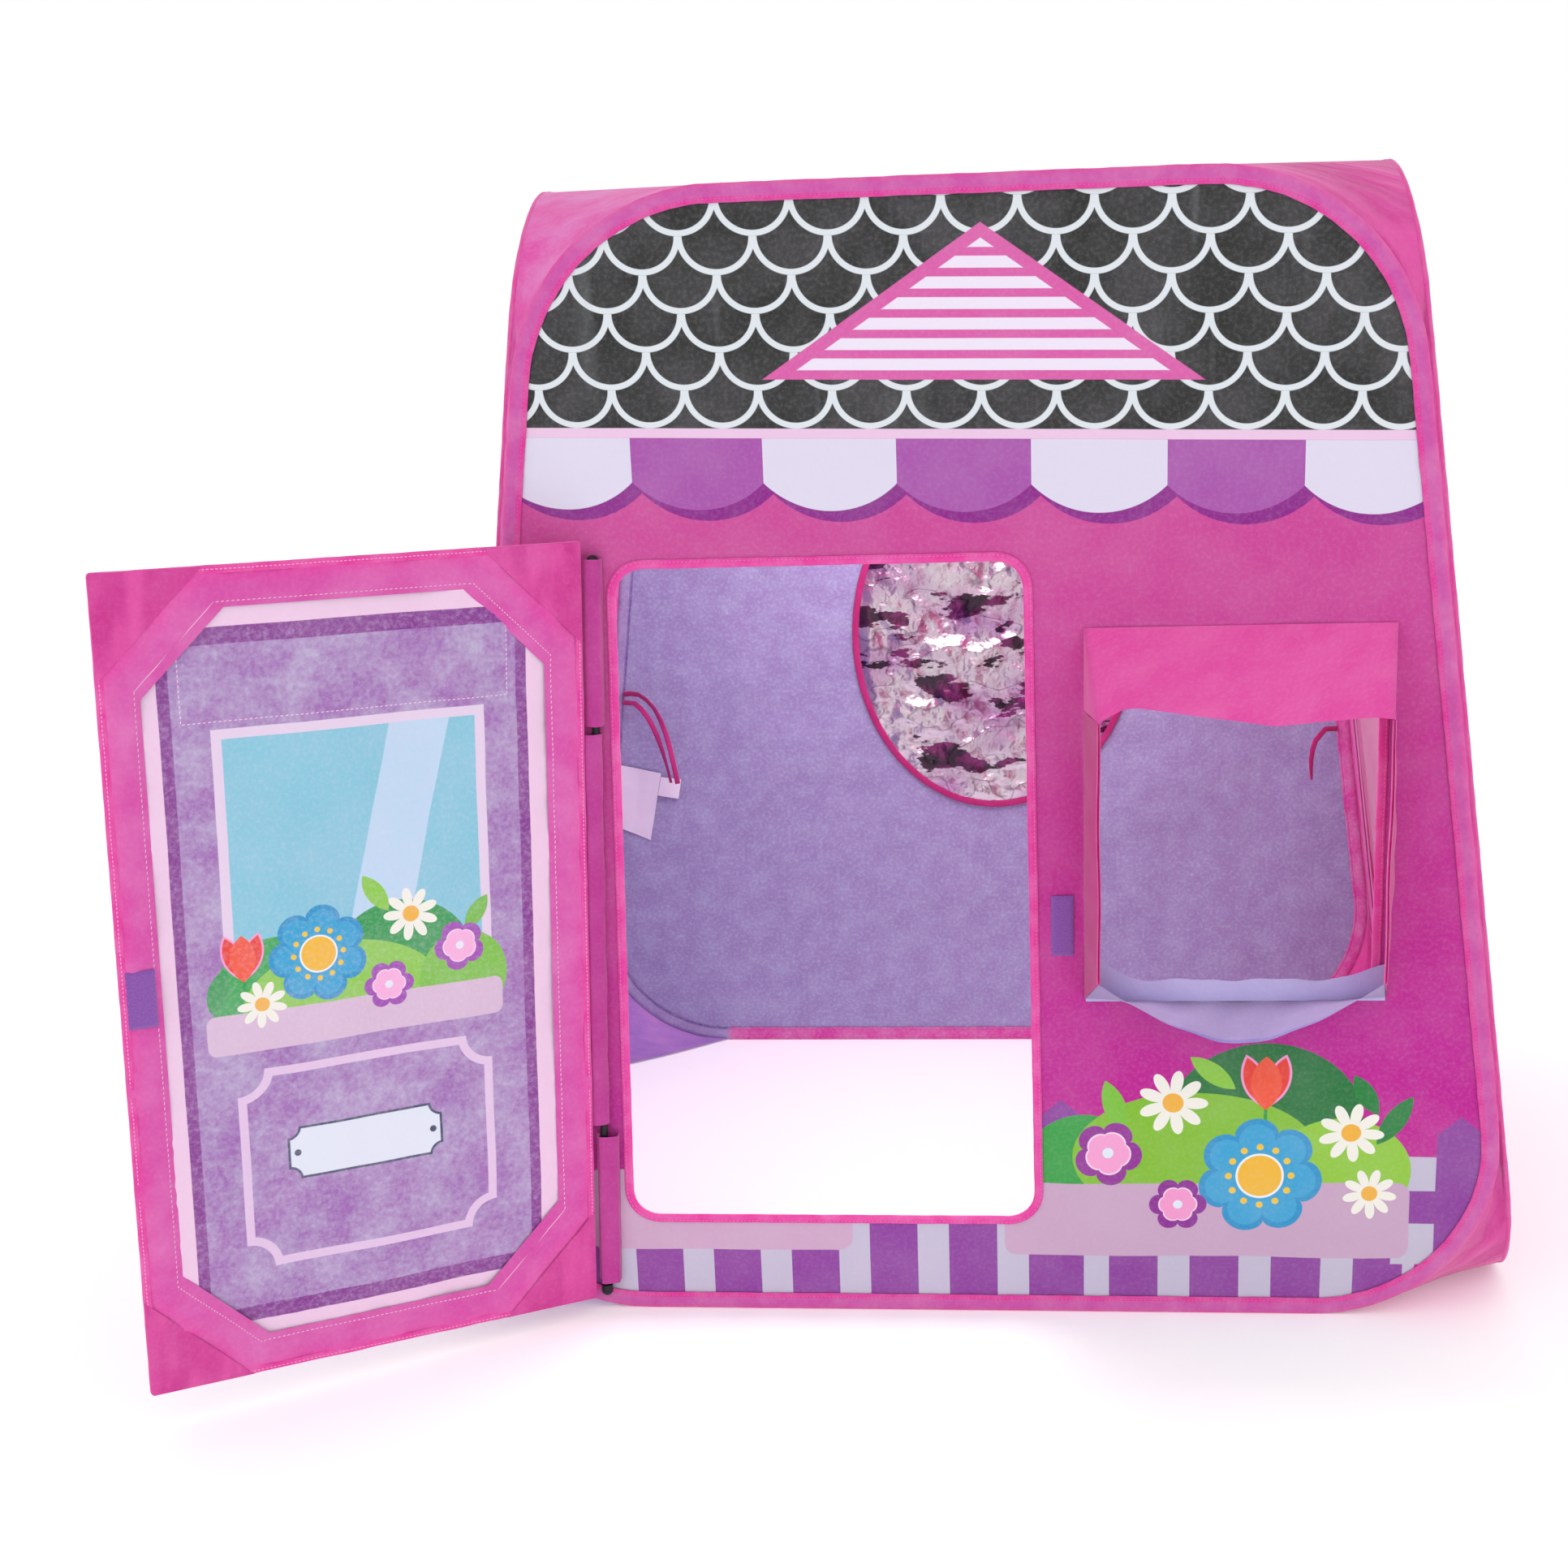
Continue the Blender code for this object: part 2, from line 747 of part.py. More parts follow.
def rod_and_sleeves():
    tent_sleeve(
        "hinge_sleeve_upper", upper_sleeve_left, upper_sleeve_right, upper_sleeve_bottom, upper_sleeve_top
    )
    tent_sleeve(
        "hinge_sleeve_lower", lower_sleeve_left, lower_sleeve_right, lower_sleeve_bottom, lower_sleeve_top
    )
    door_sleeve()
    rod = [(0, rod_top), (rod_radius, rod_top), (rod_radius, rod_bottom), (0, rod_bottom)]
    turned("hinge_rod", rod, black)
    rod_cap("rod_cap_top", rod_top, 1)
    rod_cap("rod_cap_bottom", rod_bottom, -1)


def turned(name, profile, colour):
    """A profile of (radius, height) points turned round the rod's axis."""
    mesh = bpy.data.meshes.new(name)
    points = [(x, 0, z) for x, z in profile]
    edges = [(i, i + 1) for i in range(len(points) - 1)]
    mesh.from_pydata(points, edges, [])
    obj = bpy.data.objects.new(name, mesh)
    settle(obj, rod_frame, colour)
    obj.rotation_euler = (-math.pi / 2, 0, 0)
    screw = obj.modifiers.new("turn", "SCREW")
    screw.steps = 2 * arc_steps
    screw.render_steps = 2 * arc_steps
    screw.use_merge_vertices = True
    screw.merge_threshold = 0.00001
    return obj


def rod_cap(name, rod_end, way):
    """A ball with a blind bore that sits over the rod's end."""
    inner_end = rod_end + way * touch_gap
    mouth = rod_end - way * cap_depth
    profile = []
    for turn in shares(arc_steps):
        angle = mix(math.pi / 2, 0, turn)
        profile.append((cap_radius * math.cos(angle), rod_end + way * cap_radius * math.sin(angle)))
    profile += [(cap_radius, mouth), (rod_bore, mouth), (rod_bore, inner_end), (0, inner_end)]
    if way < 0:
        profile = profile[::-1]
    turned(name, profile, black)


# Door: a printed panel, a wire loop and a hem, and a facing with corner patches behind

door_inner_face = wire_radius + touch_gap
door_outer_face = door_inner_face + panel_thickness


def door_corners(inset=0.0):
    corners = box_corners(door_hinge_edge, door_bottom, door_width, door_bottom + door_height)
    return inset_corners(corners, inset)


def door_sheet(name, loops, thickness, inner, colour, side):
    """A sheet parallel to the door, its near face at the distance inner from the middle."""
    return sheet(name, loops, thickness, door_hinge, colour, side * (inner + thickness / 2))


def octagon(inset, cut):
    left, bottom = door_corners(inset)[0]
    right, top = door_corners(inset)[2]
    return [
        (left + cut, bottom),
        (right - cut, bottom),
        (right, bottom + cut),
        (right, top - cut),
        (right - cut, top),
        (left + cut, top),
        (left, top - cut),
        (left, bottom + cut),
    ]


def door():
    outline = rounded(door_corners(), [door_corner_radius] * 4, fine_arc_steps)
    door_sheet("door_panel", [outline], panel_thickness, door_inner_face, printed, 1)
    facing = [outline, octagon(door_border, door_corner_cut)]
    door_sheet("door_facing", facing, tape_thickness, door_inner_face, pink, -1)
    hem_inner = rounded(door_corners(door_hem_width), [door_corner_radius] * 4, fine_arc_steps)
    sheet("door_hem", [outline, hem_inner], 2 * (door_inner_face - touch_gap), door_hinge, pink)
    wire_loop = rounded(door_corners(door_wire_inset), [door_wire_corner] * 4)
    wire("door_wire", wire_loop, wire_radius, door_hinge)
    facing_outside = door_inner_face + tape_thickness + touch_gap
    corners = door_corners()
    names = ["low_hinge", "low_free", "high_free", "high_hinge"]
    for i, place in enumerate(names):
        corner = Vector(corners[i])
        after = corner + (Vector(corners[(i + 1) % 4]) - corner).normalized() * door_patch_leg
        before = corner + (Vector(corners[i - 1]) - corner).normalized() * door_patch_leg
        points = [tuple(corner), tuple(after), tuple(before)]
        triangle = rounded(points, [door_corner_radius, 0, 0], fine_arc_steps)
        door_sheet("door_corner_" + place, [triangle], tape_thickness, facing_outside, pink, -1)
    patch = box_corners(
        door_width - hook_patch_edge - hook_patch_width,
        patch_height - hook_patch_height / 2,
        door_width - hook_patch_edge,
        patch_height + hook_patch_height / 2,
    )
    door_sheet("door_hook_patch", [patch], patch_thickness, facing_outside, hook_tape, -1)


# Corner webs: the seams between neighbouring sleeves, and the cloth that fills their rounded corners

def end_wall_point(x, z, side, face):
    """A point in the front (-1) or back (1) wall's middle plane; x is measured towards that side."""
    return Vector((side * x, 0 if face < 0 else back_y, z))


def side_wall_point(y, up, side, face):
    """A point in a side wall's middle plane: y from the front or back hinge line, up along the slant."""
    out = mid_offset * math.cos(lean)
    rise = mid_offset * math.sin(lean)
    x = floor_half_width - up * math.sin(lean) + out
    from_front = mid_offset + y
    return Vector((side * x, from_front if face < 0 else back_y - from_front, up * math.cos(lean) + rise))


def seam_points(z):
    """The two edges of the seam at a height: a point for each of the two functions above."""
    x = floor_half_width - seam_clearance - z * math.tan(lean) + web_clearance / math.cos(lean)
    up = (z - mid_offset * math.sin(lean)) / math.cos(lean)
    return (x, z), (seam_clearance - web_clearance, up)


def corner_paths(top):
    """Matching points along an end wall's and a side wall's corner, and on to the seam between them."""
    corners = inset_corners(end_wall_corners(), -web_clearance)
    radii = [radius + web_clearance for radius in end_radii]
    end_loop = rounded(corners, radii, web_steps)
    corners = inset_corners(side_wall_corners(), -web_clearance)
    radii = [radius + web_clearance for radius in side_radii]
    side_loop = rounded(corners, radii, web_steps)
    size = web_steps + 1
    if top:
        end_points = end_loop[2 * size : 3 * size]
        side_points = side_loop[3 * size :][::-1]
        level = min(end_points[0][1], side_points[0][1] * math.cos(lean)) - seam_run
        end_seam, side_seam = seam_points(level)
        return [end_seam] + end_points, [side_seam] + side_points
    end_points = end_loop[size : 2 * size]
    side_points = side_loop[:size][::-1]
    level = max(end_points[-1][1], side_points[-1][1]) + seam_run
    end_seam, side_seam = seam_points(level)
    return end_points + [end_seam], side_points + [side_seam]


def corner_web(name, side, face, top):
    end_points, side_points = corner_paths(top)
    rows = []
    for (x, z), (y, up) in zip(end_points, side_points):
        a = end_wall_point(x, z, side, face)
        b = side_wall_point(y, up, side, face)
        rows.append([a, a.lerp(b, 1 / 3), a.lerp(b, 2 / 3), b])
    floor_cut = ((0, 0, web_floor_gap), (0, 0, -1))
    cloth(name, rows, tape_thickness, None, pink if top else lavender, [floor_cut])


def corner_seam(name, side, face):
    low = corner_paths(False)[0][-1][1] + seam_end_gap
    high = corner_paths(True)[0][0][1] - seam_end_gap
    rows = []
    for share in shares(web_steps):
        (x, z), (y, up) = seam_points(mix(low, high, share))
        rows.append([end_wall_point(x, z, side, face), side_wall_point(y, up, side, face)])
    cloth(name, rows, tape_thickness, None, pink)


def corner_webs():
    for face_name, face in (("front", -1), ("back", 1)):
        for side_name, side in (("left", -1), ("right", 1)):
            where = face_name + "_" + side_name
            corner_web("top_corner_" + where, side, face, True)
            corner_web("bottom_corner_" + where, side, face, False)
            corner_seam("corner_seam_" + where, side, face)


# Roof: one sagging cloth between the four sleeves, which rises to the corner webs at its cut corners

def roof_cut():
    """Where the roof's corner is cut off: its ends, measured from the middle of the tent."""
    end_points, side_points = corner_paths(True)
    side_end = side_wall_point(*side_points[-1], 1, -1)
    return Vector((end_points[-1][0], back_y / 2)), Vector((side_end.x, back_y / 2 - side_end.y))


def roof():
    level = height - roof_drop
    clear = lip + touch_gap
    half_x = floor_half_width - level * math.tan(lean) + (mid_offset - clear) / math.cos(lean) - touch_gap
    half_y = back_y / 2 - clear
    on_end, on_side = roof_cut()
    along_cut = (on_side - on_end).normalized()
    across_cut = Vector((-along_cut.y, along_cut.x))
    if across_cut.dot(on_end) < 0:
        across_cut = -across_cut
    rows = []
    for down in shares(roof_cells):
        row = []
        for along in shares(roof_cells):
            u = 2 * along - 1
            v = 2 * down - 1
            sag = roof_sag * (1 - u**2) * (1 - v**2)
            corner = Vector((abs(u) * half_x, abs(v) * half_y))
            near = 1 + (corner - on_end).dot(across_cut) / roof_rise_reach
            inside = min(half_x - corner.x, half_y - corner.y) / roof_edge_reach
            rise = roof_corner_rise * min(max(near, 0), 1) ** 2 * min(inside, 1)
            row.append((u * half_x, back_y / 2 + v * half_y, level - sag + rise))
        rows.append(row)
    cuts = []
    for side in (-1, 1):
        for face in (-1, 1):
            place = (side * on_end.x, back_y / 2 + face * on_end.y, level)
            cuts.append((place, (side * across_cut.x, face * across_cut.y, 0)))
    cloth("roof_panel", rows, tape_thickness, None, pink, cuts)


front_wall()
bay_window()
side_walls()
back_wall()
ties()
rod_and_sleeves()
door()
corner_webs()
roof()
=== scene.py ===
"""Looks of the kids play tent: its cloth, tapes, cords and prints, over the CAD of the same tent.

Metres, +Z up. The origin is on the floor, under the middle of the front wall, which faces -Y.
"""

import math

import bpy
import numpy
from mathutils import Matrix, Vector
from mathutils.geometry import delaunay_2d_cdt


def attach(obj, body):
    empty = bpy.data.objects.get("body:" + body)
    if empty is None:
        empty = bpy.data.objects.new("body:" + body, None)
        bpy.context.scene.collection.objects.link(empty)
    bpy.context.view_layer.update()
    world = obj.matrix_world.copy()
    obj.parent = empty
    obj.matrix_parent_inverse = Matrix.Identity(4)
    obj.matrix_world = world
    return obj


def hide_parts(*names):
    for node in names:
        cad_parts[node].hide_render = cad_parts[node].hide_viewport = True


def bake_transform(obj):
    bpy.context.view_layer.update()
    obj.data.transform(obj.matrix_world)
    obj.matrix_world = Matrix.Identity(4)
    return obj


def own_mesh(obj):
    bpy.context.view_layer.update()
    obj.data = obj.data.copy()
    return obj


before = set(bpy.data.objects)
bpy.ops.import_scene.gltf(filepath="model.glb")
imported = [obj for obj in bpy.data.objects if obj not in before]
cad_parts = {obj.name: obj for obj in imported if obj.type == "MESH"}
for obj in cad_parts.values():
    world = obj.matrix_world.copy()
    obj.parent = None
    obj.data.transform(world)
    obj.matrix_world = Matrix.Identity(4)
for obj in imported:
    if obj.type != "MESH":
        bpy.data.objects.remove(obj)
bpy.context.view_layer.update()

# The tent as a whole: hinge lines run up the four inner corners
floor_half_width = 0.490
top_half_width = 0.3625
height = 1.020
depth = 0.690

# Fabric, wire and sewn sleeves
touch_gap = 0.0003
panel_thickness = 0.0012
tape_thickness = 0.0008
net_thickness = 0.0006
wire_radius = 0.0016
sleeve_width = 0.020
sleeve_flat = 0.0015
binding_width = 0.010
binding_fold = 0.0005
seam_clearance = 0.0005
fold_clearance = 0.0004
web_clearance = -0.0008
seam_end_gap = 0.0003
seam_run = 0.012
web_floor_gap = 0.0025

# Corner radii of the wire loops, at the sleeve's outer edge
front_top_radius = 0.180
front_bottom_radius = 0.160
side_top_radius = 0.120
side_bottom_radius = 0.130

# Door opening in the front wall
opening_left_floor = -0.316
opening_left_top = -0.301
opening_right_floor = 0.056
opening_right_top = 0.050
opening_bottom = 0.095
opening_top = 0.701
opening_radius = 0.024

# Bay window in the front wall
bay_left = 0.101
bay_right = 0.364
bay_top = 0.642
bay_depth = 0.052
bay_inset = 0.010
pelmet_bottom = 0.570
pelmet_sag = 0.006
window_margin = 0.013
window_bottom = 0.322
window_top = 0.600
window_radius = 0.008
shelf_back = 0.306
shelf_end = 0.338
shelf_low = 0.283
bay_edge_radius = 0.0020
mesh_bulge = 0.004

# Door, which turns on a rod in three sewn sleeves
rod_floor_x = -0.3452
rod_lean = math.radians(2.15)
rod_offset = 0.0078
rod_radius = 0.0035
rod_bottom = 0.0215
rod_top = 0.710
rod_room = 0.0003
rod_sleeve_skin = 0.0012
door_sleeve_flange = 0.032
upper_sleeve_left = 0.016
lower_sleeve_left = 0.008
upper_sleeve_right = 0.0075
lower_sleeve_right = 0.013
cap_radius = 0.0056
cap_depth = 0.006
upper_sleeve_bottom = 0.567
upper_sleeve_top = 0.702
door_sleeve_bottom = 0.190
door_sleeve_top = 0.558
lower_sleeve_bottom = 0.030
lower_sleeve_top = 0.178
door_width = 0.420
door_bottom = 0.017
door_height = 0.711
door_hinge_edge = 0.012
door_corner_radius = 0.003
door_border = 0.034
door_corner_cut = 0.070
door_patch_leg = 0.088
door_wire_inset = 0.012
door_wire_corner = 0.088
door_hem_width = 0.005
door_opening_angle = math.radians(149)

# Hook and loop patches that hold the door shut
patch_thickness = 0.0012
hook_patch_width = 0.024
hook_patch_height = 0.050
hook_patch_edge = 0.005
loop_patch_width = 0.020
loop_patch_height = 0.056
loop_patch_x = 0.082
patch_height = 0.375

# Mirror on the inside of the back wall
mirror_x = 0.026
mirror_z = 0.508
mirror_half_width = 0.160
mirror_half_height = 0.203
mirror_binding = 0.007

# Mesh windows in the side walls
mesh_lap = 0.005
left_mesh_margin = 0.070
left_mesh_drop = 0.158
left_mesh_height = 0.245
right_mesh_margin = 0.060
right_mesh_drop = 0.148
right_mesh_bottom = 0.170
mesh_radius = 0.040

# Roof
roof_sag = 0.030
roof_drop = 0.016
roof_corner_rise = 0.0145
roof_rise_reach = 0.055
roof_edge_reach = 0.030

# Ties and tag at the back corners, inside
tie_radius = 0.0024
tie_point_spacing = 0.014
left_long_tie_height = 0.445
left_long_tie_steps = [
    (0.000, 0.009, 0.000),
    (0.020, 0.021, -0.002),
    (0.040, 0.030, 0.014),
    (0.053, 0.035, 0.044),
    (0.060, 0.038, 0.075),
    (0.065, 0.039, 0.104),
]
left_short_tie_height = 0.435
left_short_tie_steps = [
    (0.000, 0.009, 0.000),
    (0.016, 0.019, -0.001),
    (0.033, 0.028, 0.016),
    (0.045, 0.033, 0.042),
    (0.053, 0.036, 0.070),
    (0.058, 0.038, 0.093),
]
right_tie_height = 0.390
right_tie_steps = [
    (0.000, 0.009, 0.000),
    (0.015, 0.019, -0.002),
    (0.027, 0.026, 0.010),
    (0.032, 0.029, 0.032),
    (0.031, 0.030, 0.056),
]
tag_top = 0.357
tag_lap = 0.006
large_tag_corners = [(0.0, 0.0), (-0.006, 0.078), (0.036, 0.096), (0.053, 0.012)]
small_tag_corners = [(0.0525, 0.0165), (0.0478, 0.0395), (0.0730, 0.0440), (0.0775, 0.0195)]

# Shares and counts
bulge_start_share = 0.18
bulge_end_share = 0.42
lip_start_share = 0.62
panel_edge_share = 0.72
wire_place_share = 0.30
arc_steps = 20
ellipse_steps = 96
web_steps = 18


# Camera, as the photo was taken
camera_place = (0.0213, -1.8532, 0.9831)
camera_angles = (5.613, 14.324, -2.118)
camera_lens = 50.11

# The front wall's print
band_top = 0.8162
band_bottom = 0.8080
awning_start = -0.2820
awning_pitch = 0.1132
awning_cusp = 0.7700
awning_bulge = 0.0235
awning_shade = 0.0092
awning_shade_shift = 0.0080
scale_pitch = 0.0624
scale_rise = 0.0316
scale_start = -0.2640
scale_line = 0.0049
gable_x = 0.0175
gable_top = 0.9845
gable_base = 0.8570
gable_slope = 1.443
print_left = 0.009
print_bottom = 0.019
print_width = 0.409
print_height = 0.712
roof_tilt = 0.03
roof_shift = 0.003
sleeve_cover = 0.79
binding_cover = 0.76

# Places on cloths, measured from their lower edge
web_turn = 0.165
shelf_hem = 0.050
lip_rise_left = 0.030
lip_rise_right = 0.014

# Studio
key_power = 3.5
fill_power = 1.5
back_power = 2.0
cabin_power = 5.5
world_strength = 1.0
floor_glow = 0.15
floor_reach = 6.0

lean = math.atan2(floor_half_width - top_half_width, height)
slant = height / math.cos(lean)
sleeve_bulge = wire_radius + touch_gap + tape_thickness
mid_offset = sleeve_bulge + fold_clearance
back_y = depth + 2 * mid_offset
lip = panel_thickness / 2 + touch_gap + tape_thickness
bay_wall_y = -(panel_thickness / 2 + touch_gap + tape_thickness / 2)

scene = bpy.context.scene
scene.view_settings.view_transform = "Standard"


# Camera, at the photo's place and angle

def set_camera():
    yaw, pitch, roll = (math.radians(angle) for angle in camera_angles)
    ahead = Vector((-math.sin(yaw) * math.cos(pitch), math.cos(yaw) * math.cos(pitch), -math.sin(pitch)))
    level = Vector((math.cos(yaw), math.sin(yaw), 0))
    above = level.cross(ahead)
    right = level * math.cos(roll) + above * math.sin(roll)
    up = above * math.cos(roll) - level * math.sin(roll)
    data = bpy.data.cameras.new("camera")
    data.lens = camera_lens
    data.sensor_width = 36
    camera = bpy.data.objects.new("camera", data)
    turn = Matrix((right, up, -ahead)).transposed().to_4x4()
    camera.matrix_world = Matrix.Translation(camera_place) @ turn
    scene.collection.objects.link(camera)
    scene.camera = camera


set_camera()


# Outlines: lists of (x, y) points, run round anticlockwise

def inset_corners(corners, distance):
    """The corners of the same outline, moved inwards by distance along every side."""
    count = len(corners)
    lines = []
    for i in range(count):
        a = Vector(corners[i])
        b = Vector(corners[(i + 1) % count])
        along = (b - a).normalized()
        lines.append((a + Vector((-along.y, along.x)) * distance, along))
    made = []
    for i in range(count):
        p, u = lines[i - 1]
        q, v = lines[i]
        step = (q - p).cross(v) / u.cross(v)
        made.append(tuple(p + u * step))
    return made


def rounded(corners, radii, steps=arc_steps):
    """An outline with each corner replaced by an arc; a radius of zero keeps the corner sharp."""
    count = len(corners)
    made = []
    for i in range(count):
        corner = Vector(corners[i])
        radius = radii[i]
        if radius <= 0:
            made.append(tuple(corner))
            continue
        back = (Vector(corners[i - 1]) - corner).normalized()
        on = (Vector(corners[(i + 1) % count]) - corner).normalized()
        half = back.angle(on) / 2
        centre = corner + (back + on).normalized() * (radius / math.sin(half))
        first = corner + back * (radius / math.tan(half)) - centre
        sweep = math.pi - 2 * half
        for k in range(steps + 1):
            turn = Matrix.Rotation(sweep * k / steps, 2)
            made.append(tuple(centre + turn @ first))
    return made


def box_corners(left, bottom, right, top):
    return [(left, bottom), (right, bottom), (right, top), (left, top)]


def ellipse(x, y, half_width, half_height):
    turns = [2 * math.pi * k / ellipse_steps for k in range(ellipse_steps)]
    return [(x + half_width * math.cos(a), y + half_height * math.sin(a)) for a in turns]


def mix(a, b, share):
    return a + (b - a) * share


def shares(steps):
    return [k / steps for k in range(steps + 1)]


def spaced(points, step, closed=True):
    """The same line with points at most one step apart."""
    made = []
    ends = points[1:] + (points[:1] if closed else [])
    for a, b in zip(points, ends):
        a, b = Vector(a), Vector(b)
        parts = max(1, math.ceil((b - a).length / step))
        made += [a.lerp(b, k / parts) for k in range(parts)]
    if not closed:
        made.append(Vector(points[-1]))
    return made


def outline_area(loop):
    return abs(sum(a[0] * b[1] - a[1] * b[0] for a, b in zip(loop, loop[1:] + loop[:1]))) / 2


def outline_length(loop, closed=True):
    ends = loop[1:] + (loop[:1] if closed else [])
    return sum((Vector(b) - Vector(a)).length for a, b in zip(loop, ends))


def nearest(points, loops):
    """Each point's distance from the nearest loop, and how far along that loop the nearest place is."""
    far = numpy.full(len(points), 1e9)
    along = numpy.zeros(len(points))
    for loop in loops:
        ring = numpy.array(loop)
        run = numpy.concatenate(([0], numpy.cumsum(numpy.linalg.norm(numpy.diff(ring, axis=0), axis=1))))
        ends = numpy.roll(ring, -1, axis=0)
        spans = ends - ring
        length = numpy.maximum((spans**2).sum(1), 1e-12)
        offset = points[:, None, :] - ring[None]
        share = numpy.clip((offset * spans[None]).sum(2) / length, 0, 1)
        gap = numpy.linalg.norm(offset - share[..., None] * spans[None], axis=2)
        pick = gap.argmin(1)
        rows = numpy.arange(len(points))
        closer = gap[rows, pick] < far
        far = numpy.where(closer, gap[rows, pick], far)
        along = numpy.where(closer, run[pick] + share[rows, pick] * numpy.sqrt(length[pick]), along)
    return far, along


def inside(points, loops):
    """Whether each point is in the first loop and in none of the others."""
    crossings = numpy.zeros(len(points), int)
    for loop in loops:
        a = numpy.array(loop)
        b = numpy.roll(a, -1, axis=0)
        x, y = points[:, :1], points[:, 1:]
        spans = (a[:, 1] > y) != (b[:, 1] > y)
        rise = numpy.where(b[:, 1] == a[:, 1], 1, b[:, 1] - a[:, 1])
        crossings += (spans & (x < a[:, 0] + (y - a[:, 1]) * (b[:, 0] - a[:, 0]) / rise)).sum(1)
    return crossings % 2 == 1


# Folds and wrinkles, as heights over a flat cloth

def waves(x, y, seed, size, longest, shortest, count=7):
    """A sum of soft waves in all directions, about size high."""
    draw = numpy.random.RandomState(seed)
    total = 0 * x
    for length in numpy.geomspace(longest, shortest, count):
        turn = draw.uniform(0, math.pi)
        phase = draw.uniform(0, 2 * math.pi, 2)
        u = x * math.cos(turn) + y * math.sin(turn)
        v = y * math.cos(turn) - x * math.sin(turn)
        bend = numpy.sin(2 * math.pi * v / (2.6 * length) + phase[1])
        total = total + length / longest * numpy.sin(2 * math.pi * u / length + phase[0] + bend)
    return size * total


def puckers(far, along, start, size, reach, pitch):
    """Small gathers beside a seam; they start at a distance from it and fade out over the reach."""
    ease = numpy.clip((far - start) / 0.006, 0, 1)
    drift = numpy.sin(along * 17) + numpy.sin(along * 41 + 1)
    fade = numpy.exp(-(far - start) / (reach * (1.2 + 0.5 * numpy.sin(along * 23))))
    return size * ease * fade * numpy.sin(2 * math.pi * along / pitch + 1.4 * drift)


def stretched(seed, size=0.0011, seam=0.0005):
    """The heights of a cloth held taut in its sleeve, which covers its edge."""
    def lift(x, y, far, along):
        ease = numpy.clip((far - 0.006) / 0.03, 0, 1)
        return ease * waves(x, y, seed, size, 0.26, 0.05) + puckers(far, along, 0.006, seam, 0.02, 0.017)
    return lift


# Objects

def settle(obj, place, colour, nodes):
    """Puts an object in the scene, at its place, with its material and the nodes that it stands for."""
    scene.collection.objects.link(obj)
    obj.matrix_world = place
    obj.data.materials.append(colour)
    if nodes:
        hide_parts(*nodes)
    return obj


def mesh_object(name, points, faces, runs):
    """A smooth mesh; runs are each point's place on the flat cloth, in metres."""
    mesh = bpy.data.meshes.new(name)
    mesh.from_pydata([tuple(p) for p in points], [], faces)
    flat = mesh.uv_layers.new(name="flat")
    for loop in mesh.loops:
        flat.data[loop.index].uv = runs[loop.vertex_index][:2]
    mesh.shade_smooth()
    return bpy.data.objects.new(name, mesh)


def flat_cloth(name, loops, lift, cell=0.009):
    """A cloth in the XY plane that fills the first loop, less the others; lift gives its heights."""
    borders = [spaced(loop, cell) for loop in loops]
    points = numpy.array([p for border in borders for p in border])
    edges = []
    start = 0
    for border in borders:
        size = len(border)
        edges += [(start + k, start + (k + 1) % size) for k in range(size)]
        start += size
    low, high = points.min(0), points.max(0)
    rows = numpy.arange(low[1], high[1], cell * 0.866)
    columns = numpy.arange(low[0], high[0], cell)
    grid = numpy.array([(x + cell / 2 * (k % 2), y) for k, y in enumerate(rows) for x in columns])
    grid = grid[inside(grid, borders)]
    grid = grid[nearest(grid, borders)[0] > cell * 0.55]
    points = numpy.concatenate((points, grid)) if len(grid) else points
    places, _, faces = delaunay_2d_cdt([Vector(p) for p in points], edges, [], 0, 1e-7)[:3]
    places = numpy.array([tuple(p) for p in places])
    faces = numpy.array(faces)
    faces = faces[inside(places[faces].mean(1), borders)]
    far, along = nearest(places, borders)
    heights = lift(places[:, 0], places[:, 1], far, along) + 0 * far
    solid = numpy.column_stack((places, heights))
    return mesh_object(name, solid, faces.tolist(), places)


def row_cloth(name, rows):
    """A cloth through rows of points, all rows with as many points."""
    rows = [[Vector(p) for p in row] for row in rows]
    width = len(rows[0])
    middle = width // 2
    up = [0.0]
    for lower, upper in zip(rows, rows[1:]):
        up.append(up[-1] + (upper[middle] - lower[middle]).length)
    points, runs, faces = [], [], []
    for row, v in zip(rows, up):
        u = 0.0
        for k, point in enumerate(row):
            u += (point - row[k - 1]).length if k else 0.0
            points.append(point)
            runs.append((u, v))
    for j in range(len(rows) - 1):
        for k in range(width - 1):
            a = j * width + k
            faces.append((a, a + 1, a + 1 + width, a + width))
    return mesh_object(name, points, faces, runs)


